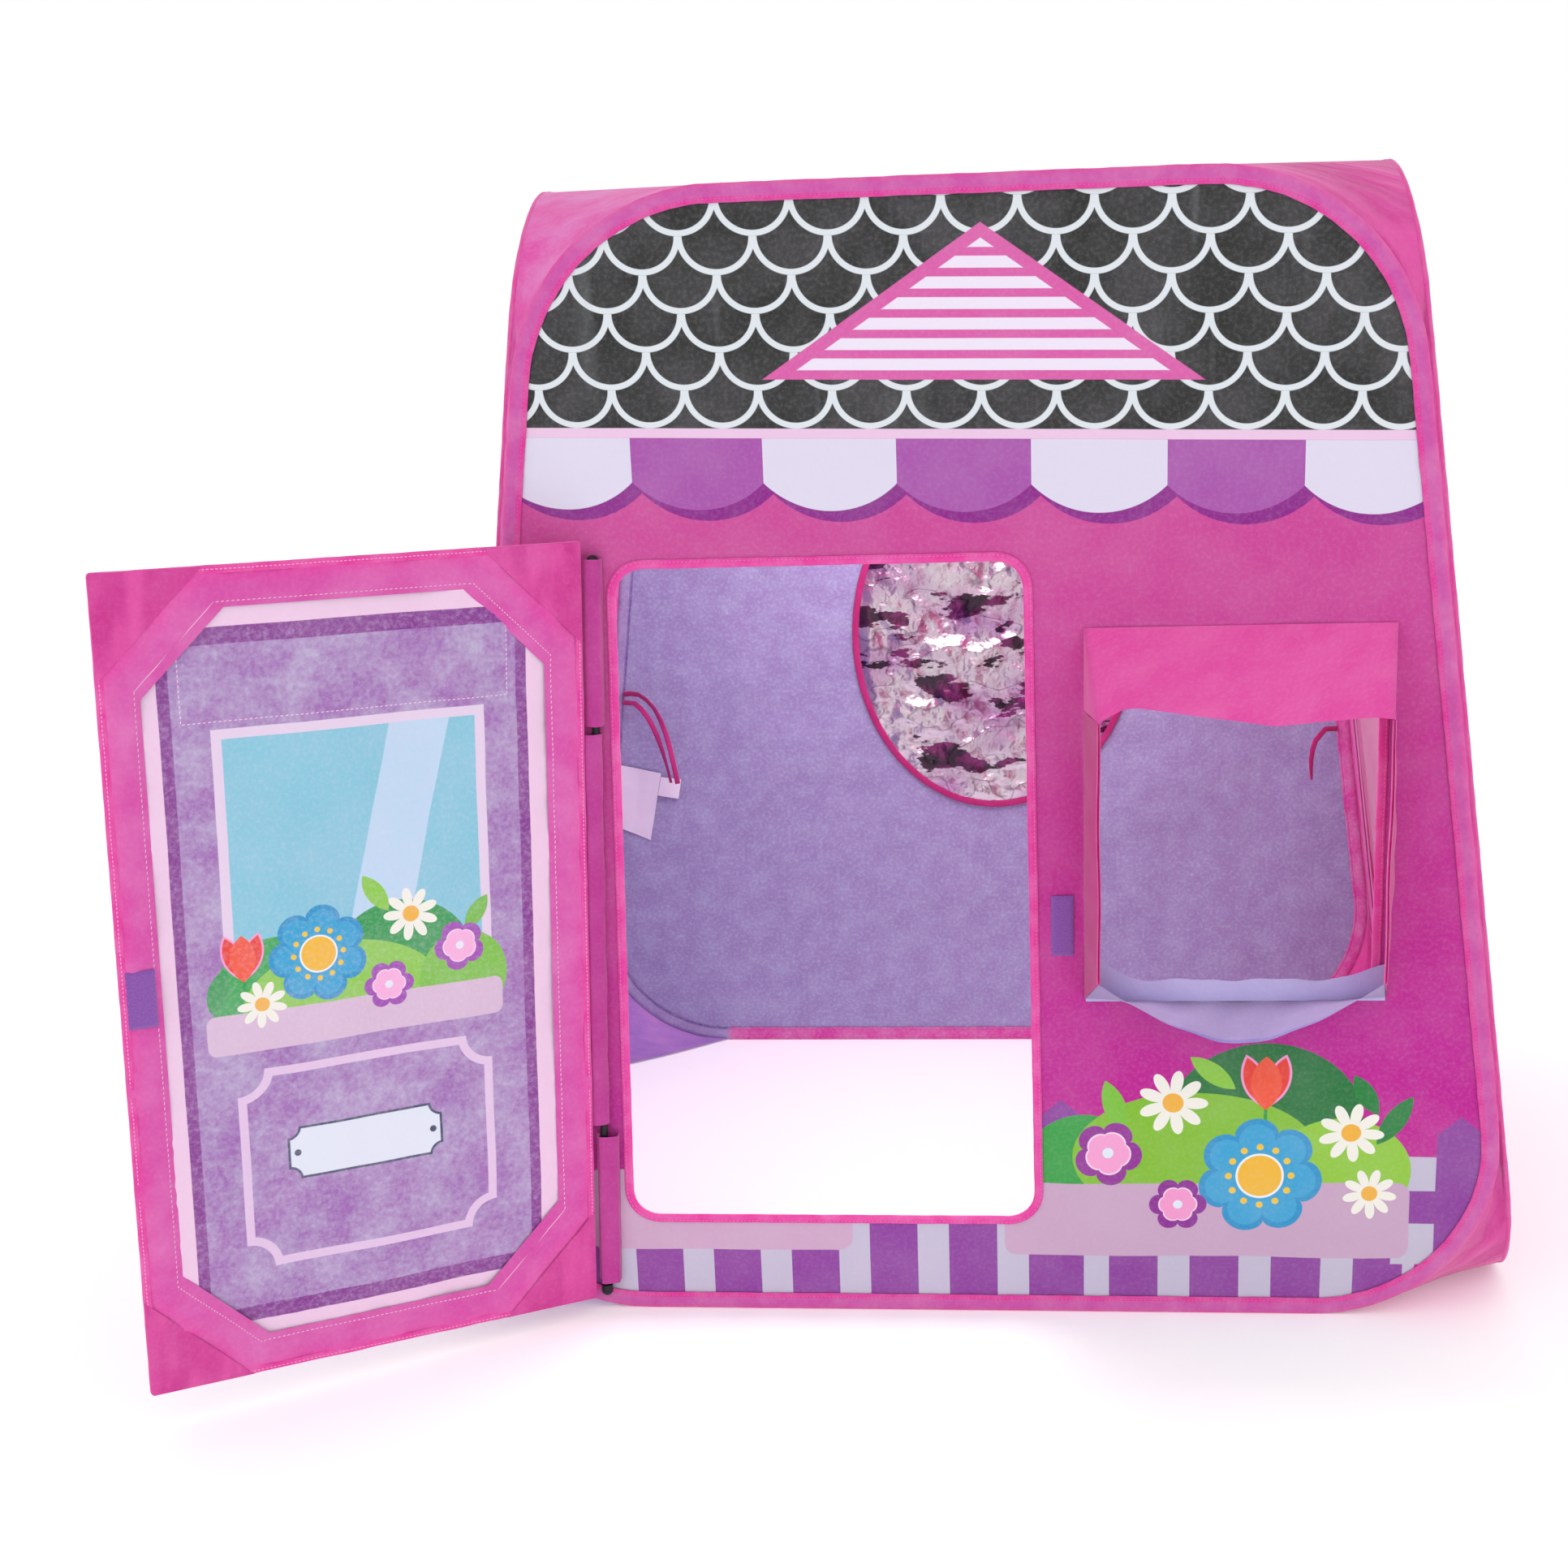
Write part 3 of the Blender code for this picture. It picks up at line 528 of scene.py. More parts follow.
def tape(name, loop, profile, step=0.009, closed=True, wobble=0.0):
    """A tape along a flat line: the profile's points are (distance to the line's left, level)."""
    line = [Vector(p) for p in spaced(loop, step, closed)]
    count = len(line)
    across = [0.0]
    for a, b in zip(profile, profile[1:]):
        across.append(across[-1] + math.dist(a, b))
    points, runs, faces = [], [], []
    run = 0.0
    turns = count + 1 if closed else count
    for i in range(turns):
        here = line[i % count]
        before = line[i % count - 1] if closed or i else here
        after = line[(i + 1) % count] if closed or i < count - 1 else here
        run += (here - before).length if i else 0.0
        ahead = ((here - before).normalized() + (after - here).normalized()).normalized()
        side = Vector((-ahead.y, ahead.x))
        sway = wobble * (math.sin(run * 61) + math.sin(run * 143 + 1) + math.sin(run * 257 + 2))
        for (u, v), w in zip(profile, across):
            bulge = 1 + sway * 180 * math.sin(math.pi * w / across[-1])
            points.append((*(here + side * (u + sway * 0.4)), v * bulge))
            runs.append((run, w))
    size = len(profile)
    for i in range(turns - 1):
        for k in range(size - 1):
            a = i * size + k
            faces.append((a, a + size, a + size + 1, a + 1))
    obj = mesh_object(name, points, faces, runs)
    obj["run"] = run
    obj["across"] = across[-1]
    return obj


def smooth_profile(points, steps=3):
    """More points on a smooth line through the profile's own."""
    padded = [points[0]] + points + [points[-1]]
    made = []
    for k in range(len(points) - 1):
        a, b, c, d = (Vector(p) for p in padded[k : k + 4])
        for j in range(steps):
            t = j / steps
            made.append((2 * b + (c - a) * t + (2 * a - 5 * b + 4 * c - d) * t**2 + (3 * b - a - 3 * c + d) * t**3) / 2)
    return [tuple(p) for p in made] + [points[-1]]


def declare_panel(loops):
    """A cloth cut to a flat outline; the holes are taken off its area."""
    across = [p[0] for p in loops[0]]
    up = [p[1] for p in loops[0]]
    wide, tall = max(across) - min(across), max(up) - min(up)
    area = outline_area(loops[0]) - sum(outline_area(loop) for loop in loops[1:])
    if area < 0.32 * wide * tall:
        wide, tall = 2 * area / (wide + tall), wide + tall


# The frames that the walls and the door are built on, with Z outwards

def frame_at(place, x_axis, y_axis):
    x_axis, y_axis = Vector(x_axis), Vector(y_axis)
    turn = Matrix((x_axis, y_axis, x_axis.cross(y_axis))).transposed().to_4x4()
    return Matrix.Translation(place) @ turn


def side_frame(side):
    up = Vector((-side * math.sin(lean), 0, math.cos(lean)))
    hinge = frame_at((side * floor_half_width, mid_offset, 0), (0, side, 0), up)
    return hinge @ Matrix.Translation((0, 0, mid_offset))


here = Matrix.Identity(4)
front_frame = frame_at((0, 0, 0), (1, 0, 0), (0, 0, 1))
back_frame = frame_at((0, back_y, 0), (-1, 0, 0), (0, 0, 1))
right_frame = side_frame(1)
left_frame = side_frame(-1)
rod_up = Vector((math.sin(rod_lean), 0, math.cos(rod_lean)))
rod_across = Vector((math.cos(rod_lean), 0, -math.sin(rod_lean)))
rod_frame = frame_at((rod_floor_x, -rod_offset, 0), rod_across, rod_up)
opened = (math.cos(door_opening_angle), 0, math.sin(door_opening_angle))
door_frame = rod_frame @ frame_at((0, 0, 0), opened, (0, 1, 0))


# Wall outlines, at the sleeves' outer edge

def end_wall_corners():
    low = floor_half_width - seam_clearance
    high = top_half_width - seam_clearance
    return [(-low, 0), (low, 0), (high, height), (-high, height)]


def side_wall_corners():
    return box_corners(seam_clearance, 0, depth - seam_clearance, slant)


def wall_outline(corners, radii, inset):
    return rounded(inset_corners(corners, inset), [radius - inset for radius in radii])


end_radii = [front_bottom_radius, front_bottom_radius, front_top_radius, front_top_radius]
side_radii = [side_bottom_radius, side_bottom_radius, side_top_radius, side_top_radius]


# Lines on the bay, the door and the corners

def bay_side(side, share):
    """The bay's side line at a share of its depth, from the wall at 0 to its front at 1."""
    return bay_left + bay_inset * share if side < 0 else bay_right - bay_inset * share


def shelf_side_height(share):
    return mix(shelf_back, shelf_end, share)


def smooth_route(points):
    """Points spaced along a smooth curve through the route's own points."""
    route = [Vector(point) for point in points]
    padded = [2 * route[0] - route[1]] + route + [2 * route[-1] - route[-2]]
    made = []
    for i in range(len(route) - 1):
        a, b, c, d = padded[i : i + 4]
        steps = max(1, round((c - b).length / tie_point_spacing))
        for k in range(steps):
            t = k / steps
            bend = (c - a) * t + (2 * a - 5 * b + 4 * c - d) * t**2 + (3 * b - a - 3 * c + d) * t**3
            made.append(b + bend / 2)
    return made + [route[-1]]


def door_corners(inset=0.0):
    corners = box_corners(door_hinge_edge, door_bottom, door_width, door_bottom + door_height)
    return inset_corners(corners, inset)


def octagon(inset, cut):
    left, bottom = door_corners(inset)[0]
    right, top = door_corners(inset)[2]
    return [
        (left + cut, bottom),
        (right - cut, bottom),
        (right, bottom + cut),
        (right, top - cut),
        (right - cut, top),
        (left + cut, top),
        (left, top - cut),
        (left, bottom + cut),
    ]


def end_wall_point(x, z, side, face):
    """A point in the front (-1) or back (1) wall's middle plane; x is measured towards that side."""
    return Vector((side * x, 0 if face < 0 else back_y, z))


def side_wall_point(y, up, side, face):
    """A point in a side wall's middle plane: y from the front or back hinge line, up along the slant."""
    out = mid_offset * math.cos(lean)
    rise = mid_offset * math.sin(lean)
    x = floor_half_width - up * math.sin(lean) + out
    from_front = mid_offset + y
    return Vector((side * x, from_front if face < 0 else back_y - from_front, up * math.cos(lean) + rise))


def seam_points(z):
    """The two edges of the seam at a height: a point for each of the two functions above."""
    x = floor_half_width - seam_clearance - z * math.tan(lean) + web_clearance / math.cos(lean)
    up = (z - mid_offset * math.sin(lean)) / math.cos(lean)
    return (x, z), (seam_clearance - web_clearance, up)


def corner_paths(top):
    """Matching points along an end wall's and a side wall's corner, and on to the seam between them."""
    corners = inset_corners(end_wall_corners(), -web_clearance)
    radii = [radius + web_clearance for radius in end_radii]
    end_loop = rounded(corners, radii, web_steps)
    corners = inset_corners(side_wall_corners(), -web_clearance)
    radii = [radius + web_clearance for radius in side_radii]
    side_loop = rounded(corners, radii, web_steps)
    size = web_steps + 1
    if top:
        end_points = end_loop[2 * size : 3 * size]
        side_points = side_loop[3 * size :][::-1]
        level = min(end_points[0][1], side_points[0][1] * math.cos(lean)) - seam_run
        end_seam, side_seam = seam_points(level)
        return [end_seam] + end_points, [side_seam] + side_points
    end_points = end_loop[size : 2 * size]
    side_points = side_loop[:size][::-1]
    level = max(end_points[-1][1], side_points[-1][1]) + seam_run
    end_seam, side_seam = seam_points(level)
    return end_points + [end_seam], side_points + [side_seam]


def roof_cut():
    """Where the roof's corner is cut off: its ends, measured from the middle of the tent."""
    end_points, side_points = corner_paths(True)
    side_end = side_wall_point(*side_points[-1], 1, -1)
    return Vector((end_points[-1][0], back_y / 2)), Vector((side_end.x, back_y / 2 - side_end.y))


# Tapes in section, from one lip round the fold to the other

sleeve_profile = smooth_profile([
    (0.0203, 0.0008),
    (0.0198, 0.0017),
    (0.0172, 0.0018),
    (0.0162, 0.0014),
    (0.0150, 0.0018),
    (0.0120, 0.0021),
    (0.0085, 0.0026),
    (0.0055, 0.0028),
    (0.0025, 0.0023),
    (0.0004, 0.0012),
    (0.0, 0.0),
])
sleeve_profile = [(u * sleeve_cover, v) for u, v in sleeve_profile]
sleeve_profile += [(u, -v) for u, v in sleeve_profile[-2::-1]]
binding_profile = smooth_profile([
    (binding_width + 0.0003, 0.0007),
    (binding_width - 0.0004, 0.0017),
    (0.0080, 0.0018),
    (0.0074, 0.0014),
    (0.0066, 0.0018),
    (0.0030, 0.0019),
    (0.0006, 0.0015),
    (-0.0004, 0.0),
])
binding_profile = [(u * binding_cover, v) for u, v in binding_profile]
binding_profile += [(u, -v) for u, v in binding_profile[-2::-1]]



# Materials, all of shader nodes; "flat" is the map of each cloth's own place, in metres

class Field:
    """A number at each point of a surface, as a shader socket; fields work with + - * / like numbers."""

    def __init__(self, paint, socket):
        self.paint = paint
        self.socket = socket

    def __add__(self, other):
        return self.paint.maths("ADD", self, other)

    def __radd__(self, other):
        return self.paint.maths("ADD", other, self)

    def __sub__(self, other):
        return self.paint.maths("SUBTRACT", self, other)

    def __rsub__(self, other):
        return self.paint.maths("SUBTRACT", other, self)

    def __mul__(self, other):
        return self.paint.maths("MULTIPLY", self, other)

    def __rmul__(self, other):
        return self.paint.maths("MULTIPLY", other, self)

    def __truediv__(self, other):
        return self.paint.maths("DIVIDE", self, other)


def linear(code):
    """A colour of two hexadecimal figures per channel, as the shader's numbers."""
    parts = [int(code[k : k + 2], 16) / 255 for k in (0, 2, 4)]
    return tuple(p / 12.92 if p <= 0.04045 else ((p + 0.055) / 1.055) ** 2.4 for p in parts)


class Paint:
    """A material in the making: its shader, and x and y as fields of the place on the cloth."""

    def __init__(self, name, roughness=0.8, metallic=0.0, sheen=0.0):
        self.material = bpy.data.materials.new(name)
        self.material.use_nodes = True
        self.tree = self.material.node_tree
        self.shader = self.tree.nodes["Principled BSDF"]
        self.shader.inputs["Roughness"].default_value = roughness
        self.shader.inputs["Metallic"].default_value = metallic
        self.shader.inputs["Sheen Weight"].default_value = sheen
        self.shader.inputs["Specular IOR Level"].default_value = 0.3
        self.flat = self.node("ShaderNodeUVMap", uv_map="flat").outputs[0]
        parts = self.node("ShaderNodeSeparateXYZ", [(0, self.flat)]).outputs
        self.x = Field(self, parts[0])
        self.y = Field(self, parts[1])
        self.normal = None

    def node(self, kind, inputs=(), **settings):
        made = self.tree.nodes.new(kind)
        for key, value in settings.items():
            setattr(made, key, value)
        for place, value in inputs:
            self.feed(made.inputs[place], value)
        return made

    def feed(self, socket, value):
        if isinstance(value, Field):
            value = value.socket
        if isinstance(value, bpy.types.NodeSocket):
            self.tree.links.new(value, socket)
        elif isinstance(value, tuple) and socket.type == "RGBA":
            socket.default_value = (*value, 1.0)
        else:
            socket.default_value = value

    def maths(self, operation, *values, clamp=False):
        made = self.node("ShaderNodeMath", enumerate(values), operation=operation, use_clamp=clamp)
        return Field(self, made.outputs[0])

    def over(self, colour, share, other):
        """The other colour laid over this one, by a share from 0 to 1."""
        inputs = [(0, share), (6, colour), (7, other)]
        return self.node("ShaderNodeMix", inputs, data_type="RGBA").outputs[2]

    def noise(self, scale, detail=2.0, rough=0.5, stretch=(1, 1), turn=0.0):
        """Soft noise from 0 to 1 over the cloth, scale patches per metre."""
        inputs = [(0, self.flat), ("Rotation", (0, 0, turn)), ("Scale", (*stretch, 1))]
        place = self.node("ShaderNodeMapping", inputs).outputs[0]
        made = self.node("ShaderNodeTexNoise", [("Vector", place), ("Scale", scale), ("Detail", detail), ("Roughness", rough)])
        return Field(self, made.outputs[0])

    def steep(self, value, start, end):
        """0 below start, 1 above end and even in between."""
        made = self.node("ShaderNodeMapRange", [(0, value), (1, start), (2, end)])
        return Field(self, made.outputs[0])

    def edge(self, distance, soft=0.0007):
        """1 where the distance is below nothing, 0 where it is above."""
        return self.steep(distance, soft / 2, -soft / 2)

    def size(self, u, v):
        return self.maths("SQRT", u * u + v * v)

    def bump(self, height, distance, strength=1.0):
        inputs = [("Height", height), ("Distance", distance), ("Strength", strength)]
        if self.normal:
            inputs.append(("Normal", self.normal))
        self.normal = self.node("ShaderNodeBump", inputs).outputs[0]

    def done(self, colour):
        self.feed(self.shader.inputs["Base Color"], colour)
        if self.normal:
            self.feed(self.shader.inputs["Normal"], self.normal)
        return self.material


# Printed shapes: signed distances in metres, below nothing inside the shape

def round_shape(p, x, y, cx, cy, rx, ry=None, turn=0.0):
    u, v = turned_about(x, y, cx, cy, turn)
    if ry is None:
        return p.size(u, v) - rx
    return (p.size(u / rx, v / ry) - 1) * min(rx, ry)


def turned_about(x, y, cx, cy, turn):
    u = x - cx
    v = y - cy
    if turn == 0.0:
        return u, v
    return u * math.cos(turn) + v * math.sin(turn), v * math.cos(turn) - u * math.sin(turn)


def box_shape(p, x, y, left, bottom, right, top, radius=0.0):
    u = p.maths("ABSOLUTE", x - (left + right) / 2) - ((right - left) / 2 - radius)
    v = p.maths("ABSOLUTE", y - (bottom + top) / 2) - ((top - bottom) / 2 - radius)
    outside = p.size(p.maths("MAXIMUM", u, 0.0), p.maths("MAXIMUM", v, 0.0))
    return outside + p.maths("MINIMUM", p.maths("MAXIMUM", u, v), 0.0) - radius


def notched_shape(p, x, y, left, bottom, right, top, notch):
    """A box whose corners are bitten out by circles."""
    u = p.maths("ABSOLUTE", x - (left + right) / 2) - (right - left) / 2
    v = p.maths("ABSOLUTE", y - (bottom + top) / 2) - (top - bottom) / 2
    return p.maths("MAXIMUM", p.maths("MAXIMUM", u, v), notch - p.size(u, v))


def petal_shape(p, x, y, cx, cy, radius, petals, notch, turn=0.0, power=0.6):
    u = x - cx
    v = y - cy
    wave = p.maths("ABSOLUTE", p.maths("COSINE", p.maths("ARCTAN2", v, u) * (petals / 2) + turn))
    reach = p.maths("POWER", wave, power) * (radius * notch) + radius * (1 - notch)
    return p.size(u, v) - reach


def leaf_shape(p, x, y, cx, cy, length, width, turn):
    u, v = turned_about(x, y, cx, cy, turn)
    radius = (length**2 + width**2) / (4 * width)
    shift = radius - width / 2
    return p.maths("MAXIMUM", p.size(u, v - shift), p.size(u, v + shift)) - radius


def ring_of_dots(p, x, y, cx, cy, radius, dot, count):
    """Small dots round a circle."""
    u = x - cx
    v = y - cy
    sector = 2 * math.pi / count
    angle = p.maths("ARCTAN2", v, u)
    angle = p.maths("SUBTRACT", angle, p.maths("ROUND", angle / sector) * sector)
    far = p.size(u, v)
    return p.size(far * p.maths("COSINE", angle) - radius, far * p.maths("SINE", angle)) - dot


def stamp(p, colour, *layers):
    """Lays printed layers on a colour, each a (shape, its colour) pair, first to last."""
    for shape, ink in layers:
        colour = p.over(colour, p.edge(shape), linear(ink))
    return colour


def daisy(p, colour, x, y, cx, cy, radius, turn=0.0):
    return stamp(
        p, colour,
        (petal_shape(p, x, y, cx, cy, radius, 9, 0.62, turn, 0.75), "f0efe4"),
        (round_shape(p, x, y, cx, cy, radius * 0.30), "efb23c"),
    )


def round_flower(p, colour, x, y, cx, cy, radius, petals, outer, inner, heart, turn=0.0):
    return stamp(
        p, colour,
        (petal_shape(p, x, y, cx, cy, radius, petals, 0.28, turn), outer),
        (petal_shape(p, x, y, cx, cy, radius * 0.68, petals, 0.16, turn), "f3d5ec"),
        (petal_shape(p, x, y, cx, cy, radius * 0.63, petals, 0.16, turn), inner),
        (round_shape(p, x, y, cx, cy, radius * 0.16), heart),
    )


def tulip(p, colour, x, y, cx, cy, size):
    """Three pointed petals over a stem."""
    side = size * 0.36
    return stamp(
        p, colour,
        (box_shape(p, x, y, cx - size * 0.05, cy - size * 1.5, cx + size * 0.05, cy), "2c9a3f"),
        (leaf_shape(p, x, y, cx - side, cy + size * 0.1, size * 1.7, size * 0.72, 1.85), "f29ccf"),
        (leaf_shape(p, x, y, cx + side, cy + size * 0.1, size * 1.7, size * 0.72, 1.29), "f29ccf"),
        (leaf_shape(p, x, y, cx - side, cy + size * 0.1, size * 1.5, size * 0.58, 1.85), "e5402f"),
        (leaf_shape(p, x, y, cx + side, cy + size * 0.1, size * 1.5, size * 0.58, 1.29), "e5402f"),
        (leaf_shape(p, x, y, cx, cy, size * 1.7, size * 0.9, math.pi / 2), "ee5a3f"),
    )


def big_flower(p, colour, x, y, cx, cy, radius, petals, turn):
    return stamp(
        p, colour,
        (petal_shape(p, x, y, cx, cy, radius, petals, 0.22, turn), "2b93c8"),
        (petal_shape(p, x, y, cx, cy, radius * 0.9, petals, 0.30, turn), "3ba3d2"),
        (ring_of_dots(p, x, y, cx, cy, radius * 0.50, radius * 0.055, 12), "f0c53c"),
        (round_shape(p, x, y, cx, cy, radius * 0.385), "eef2f4"),
        (round_shape(p, x, y, cx, cy, radius * 0.35), "f0b93a"),
    )


# Cloth: mottled, with a fine pressed grid, soft creases and a little sheen

def cloth_paint(p, colour, light, cloud=0.35, speckle=0.25, crease=1.0, scale=1.0):
    patches = p.noise(16 * scale, 3.0, 0.6)
    flecks = p.noise(260, 2.0, 0.6)
    share = p.steep(patches, 0.38, 0.72) * cloud + p.steep(flecks, 0.45, 0.75) * speckle
    colour = p.over(colour, share, light)
    pitch = 2 * math.pi / 0.0017
    grid = p.maths("SINE", (p.x + p.y) * pitch) * p.maths("SINE", (p.x - p.y) * pitch)
    p.bump(p.noise(9, 3.0, 0.55, (1, 0.45), 0.7), 0.012 * crease, 0.55)
    p.bump(p.noise(46, 2.0, 0.5), 0.0016 * crease, 0.5)
    p.bump(grid, 0.0001, 0.5)
    return p.done(colour)


def stitch(p, colour, places, thread, along=None, across=None):
    """Dashed stitch lines at the given places across a tape, and the dent along them."""
    along = p.x if along is None else along
    across = p.y if across is None else across
    dash = p.steep(p.maths("SINE", along * (2 * math.pi / 0.0036)), -0.5, 0.1)
    dents = 0.0
    for place in places:
        far = p.maths("ABSOLUTE", across - place)
        colour = p.over(colour, p.edge(far - 0.00042, 0.0003) * dash, thread)
        dents = p.edge(far - 0.0007, 0.0012) + dents
    p.bump(dents, -0.0005, 0.8)
    return colour


def tape_paint(name, base, light, edge_colour, lip_colour, width, thread, lines, sheen=0.2, cloud=0.45):
    """A folded tape: its fold and its two lips are stronger in colour than its faces."""
    p = Paint(name, 0.72, sheen=sheen)
    colour = linear(base)
    middle = p.maths("ABSOLUTE", p.y - width / 2)
    colour = p.over(colour, p.steep(middle, width * 0.16, width * 0.03), linear(edge_colour))
    colour = p.over(colour, p.steep(middle, width / 2 - 0.0062, width / 2 - 0.0050), linear(lip_colour))
    colour = stitch(p, colour, [width / 2 - place for place in lines] + [width / 2 + place for place in lines], linear(thread))
    return cloth_paint(p, colour, linear(light), cloud, 0.15, 0.7, 2.2)


def plain_paint(name, base, light, cloud, speckle, crease=1.0, sheen=0.25, scale=1.0):
    p = Paint(name, 0.8, sheen=sheen)
    return cloth_paint(p, linear(base), linear(light), cloud, speckle, crease, scale)


def make_front_print():
    p = Paint("front_print", 0.78, sheen=0.2)
    x, y = p.x, p.y
    low = p.steep(y - x * 0.25, 0.70, 0.16)
    colour = p.over(linear("c84495"), low, linear("bc1592"))
    ground = y
    y = y + x * roof_tilt + roof_shift
    cell = p.maths("FLOOR", (x - awning_start) / awning_pitch)
    odd = p.maths("MODULO", cell + 20, 2.0)
    across = x - (cell + 0.5) * awning_pitch - awning_start
    radius = (awning_pitch**2 / 4 + awning_bulge**2) / (2 * awning_bulge)
    drop = awning_cusp + (radius - awning_bulge)
    shifted = x - awning_shade_shift
    shade_cell = p.maths("FLOOR", (shifted - awning_start) / awning_pitch)
    shade_across = shifted - (shade_cell + 0.5) * awning_pitch - awning_start
    shade = drop - awning_shade - p.maths("SQRT", radius**2 - shade_across * shade_across)
    cloth = drop - p.maths("SQRT", radius**2 - across * across)
    under_roof = y - band_bottom
    colour = p.over(colour, p.edge(p.maths("MAXIMUM", shade - y, under_roof)), linear("8a1c88"))
    stripes = p.over(linear("a652a8"), odd, linear("dcd6ea"))
    colour = p.over(colour, p.edge(p.maths("MAXIMUM", cloth - y, under_roof)), stripes)

    # The fence, behind a planter with a bed of flowers
    roof_level, y = y, ground
    fence = p.maths("MAXIMUM", y - 0.089, x - 0.3975)
    picket = p.maths("ABSOLUTE", p.maths("MODULO", x - 0.0498 + 20 * 0.0732, 0.0732) - 0.0222) - 0.0222
    colour = p.over(colour, p.edge(fence), linear("c2bcd1"))
    colour = p.over(colour, p.edge(p.maths("MAXIMUM", fence, picket)), linear("8c3d9b"))
    side_fence = box_shape(p, x, y, 0.376, 0.05, 0.5, 0.1545)
    colour = p.over(colour, p.edge(side_fence), linear("c2bcd1"))
    colour = stamp(p, colour, (box_shape(p, x, y, 0.37, 0.0895, 0.5, 0.1213), "8c3d9b"))
    for tip in (0.4342, 0.0797):
        point = p.maths("ABSOLUTE", x - tip) - 0.0205
        roof = y + p.maths("ABSOLUTE", x - tip) * 0.85 - 0.1935 - (0.016 if tip < 0.2 else 0.0)
        colour = p.over(colour, p.edge(p.maths("MAXIMUM", point, roof)), linear("8c3d9b"))
    colour = flower_bed(p, colour, x, y)
    colour = stamp(p, colour, (box_shape(p, x, y, -0.36, 0.060, -0.112, 0.140, 0.014), "caa5c3"))

    # The roof, with rows of scales, a light band under it and a striped gable on it
    y = roof_level
    pitch, rise = scale_pitch, scale_rise
    row = p.maths("FLOOR", (y - band_top) / rise)
    level = y - (row + 1) * rise - band_top
    start = x - scale_start + p.maths("MODULO", row + 20, 2.0) * (pitch / 2)
    off = (start - p.maths("ROUND", start / pitch) * pitch) * 0.96
    line = p.maths("ABSOLUTE", p.size(off, level) - (rise - scale_line / 2)) - scale_line / 2
    side_gap = pitch / 2 - p.maths("ABSOLUTE", off) - scale_line / 2
    stub = p.maths("MAXIMUM", side_gap, -0.0105 - level)
    line = p.maths("MINIMUM", line, stub)
    roof_ink = p.over(linear("2b2c2b"), p.edge(line), linear("dbe2e7"))
    streaks = p.steep(p.noise(30, 2.0, 0.6, (1, 0.12), 0.62), 0.60, 0.78)
    roof_ink = p.over(roof_ink, streaks * 0.22, linear("aab0b4"))
    gable = p.maths("MAXIMUM", gable_base - y, (p.maths("ABSOLUTE", x - gable_x) - (gable_top - y) * gable_slope) * 0.56)
    inner = p.maths("MAXIMUM", gable_base - y, (p.maths("ABSOLUTE", x - gable_x) - (gable_top - 0.0125 - y) * gable_slope) * 0.56)
    board = p.maths("ABSOLUTE", p.maths("MODULO", y - gable_base - 0.0126 + 0.0083 + 10 * 0.01662, 0.01662) - 0.0083) - 0.0048
    board = p.maths("MAXIMUM", board, gable_base + 0.007 - y)
    gable_ink = p.over(linear("d65aa6"), p.edge(p.maths("MAXIMUM", inner, board)), linear("ebe1f2"))
    roof_ink = p.over(roof_ink, p.edge(gable), gable_ink)
    colour = p.over(colour, p.edge(band_bottom - y), linear("e8c4e2"))
    colour = p.over(colour, p.edge(band_top - y), roof_ink)
    return cloth_paint(p, colour, p.over(colour, 0.5, linear("f0e8f4")), 0.10, 0.10)


def flower_bed(p, colour, x, y):
    colour = stamp(
        p, colour,
        (round_shape(p, x, y, 0.100, 0.135, 0.058, 0.060), "2f9e3f"),
        (round_shape(p, x, y, 0.262, 0.190, 0.086, 0.074), "23753a"),
        (round_shape(p, x, y, 0.200, 0.155, 0.110, 0.062), "82bd2f"),
        (round_shape(p, x, y, 0.330, 0.140, 0.062, 0.052), "8fc738"),
        (leaf_shape(p, x, y, 0.128, 0.203, 0.052, 0.020, 1.9), "7cc13c"),
        (leaf_shape(p, x, y, 0.376, 0.190, 0.056, 0.019, 1.0), "23803c"),
        (leaf_shape(p, x, y, 0.350, 0.215, 0.044, 0.017, 2.1), "23803c"),
        (leaf_shape(p, x, y, 0.215, 0.236, 0.050, 0.018, 2.5), "8ac83e"),
        (box_shape(p, x, y, 0.028, 0.056, 0.3915, 0.1285, 0.011), "c7a5c2"),
    )
    colour = tulip(p, colour, x, y, 0.262, 0.226, 0.030)
    colour = daisy(p, colour, x, y, 0.180, 0.207, 0.031)
    colour = daisy(p, colour, x, y, 0.338, 0.178, 0.029, 0.3)
    colour = round_flower(p, colour, x, y, 0.122, 0.158, 0.031, 5, "923096", "f2a0d0", "dfe9f5", 0.4)
    colour = big_flower(p, colour, x, y, 0.258, 0.136, 0.056, 7, 0.5)
    colour = round_flower(p, colour, x, y, 0.185, 0.108, 0.026, 6, "8c2a93", "f09acb", "dfe9f5")
    return daisy(p, colour, x, y, 0.356, 0.118, 0.024, 0.6)


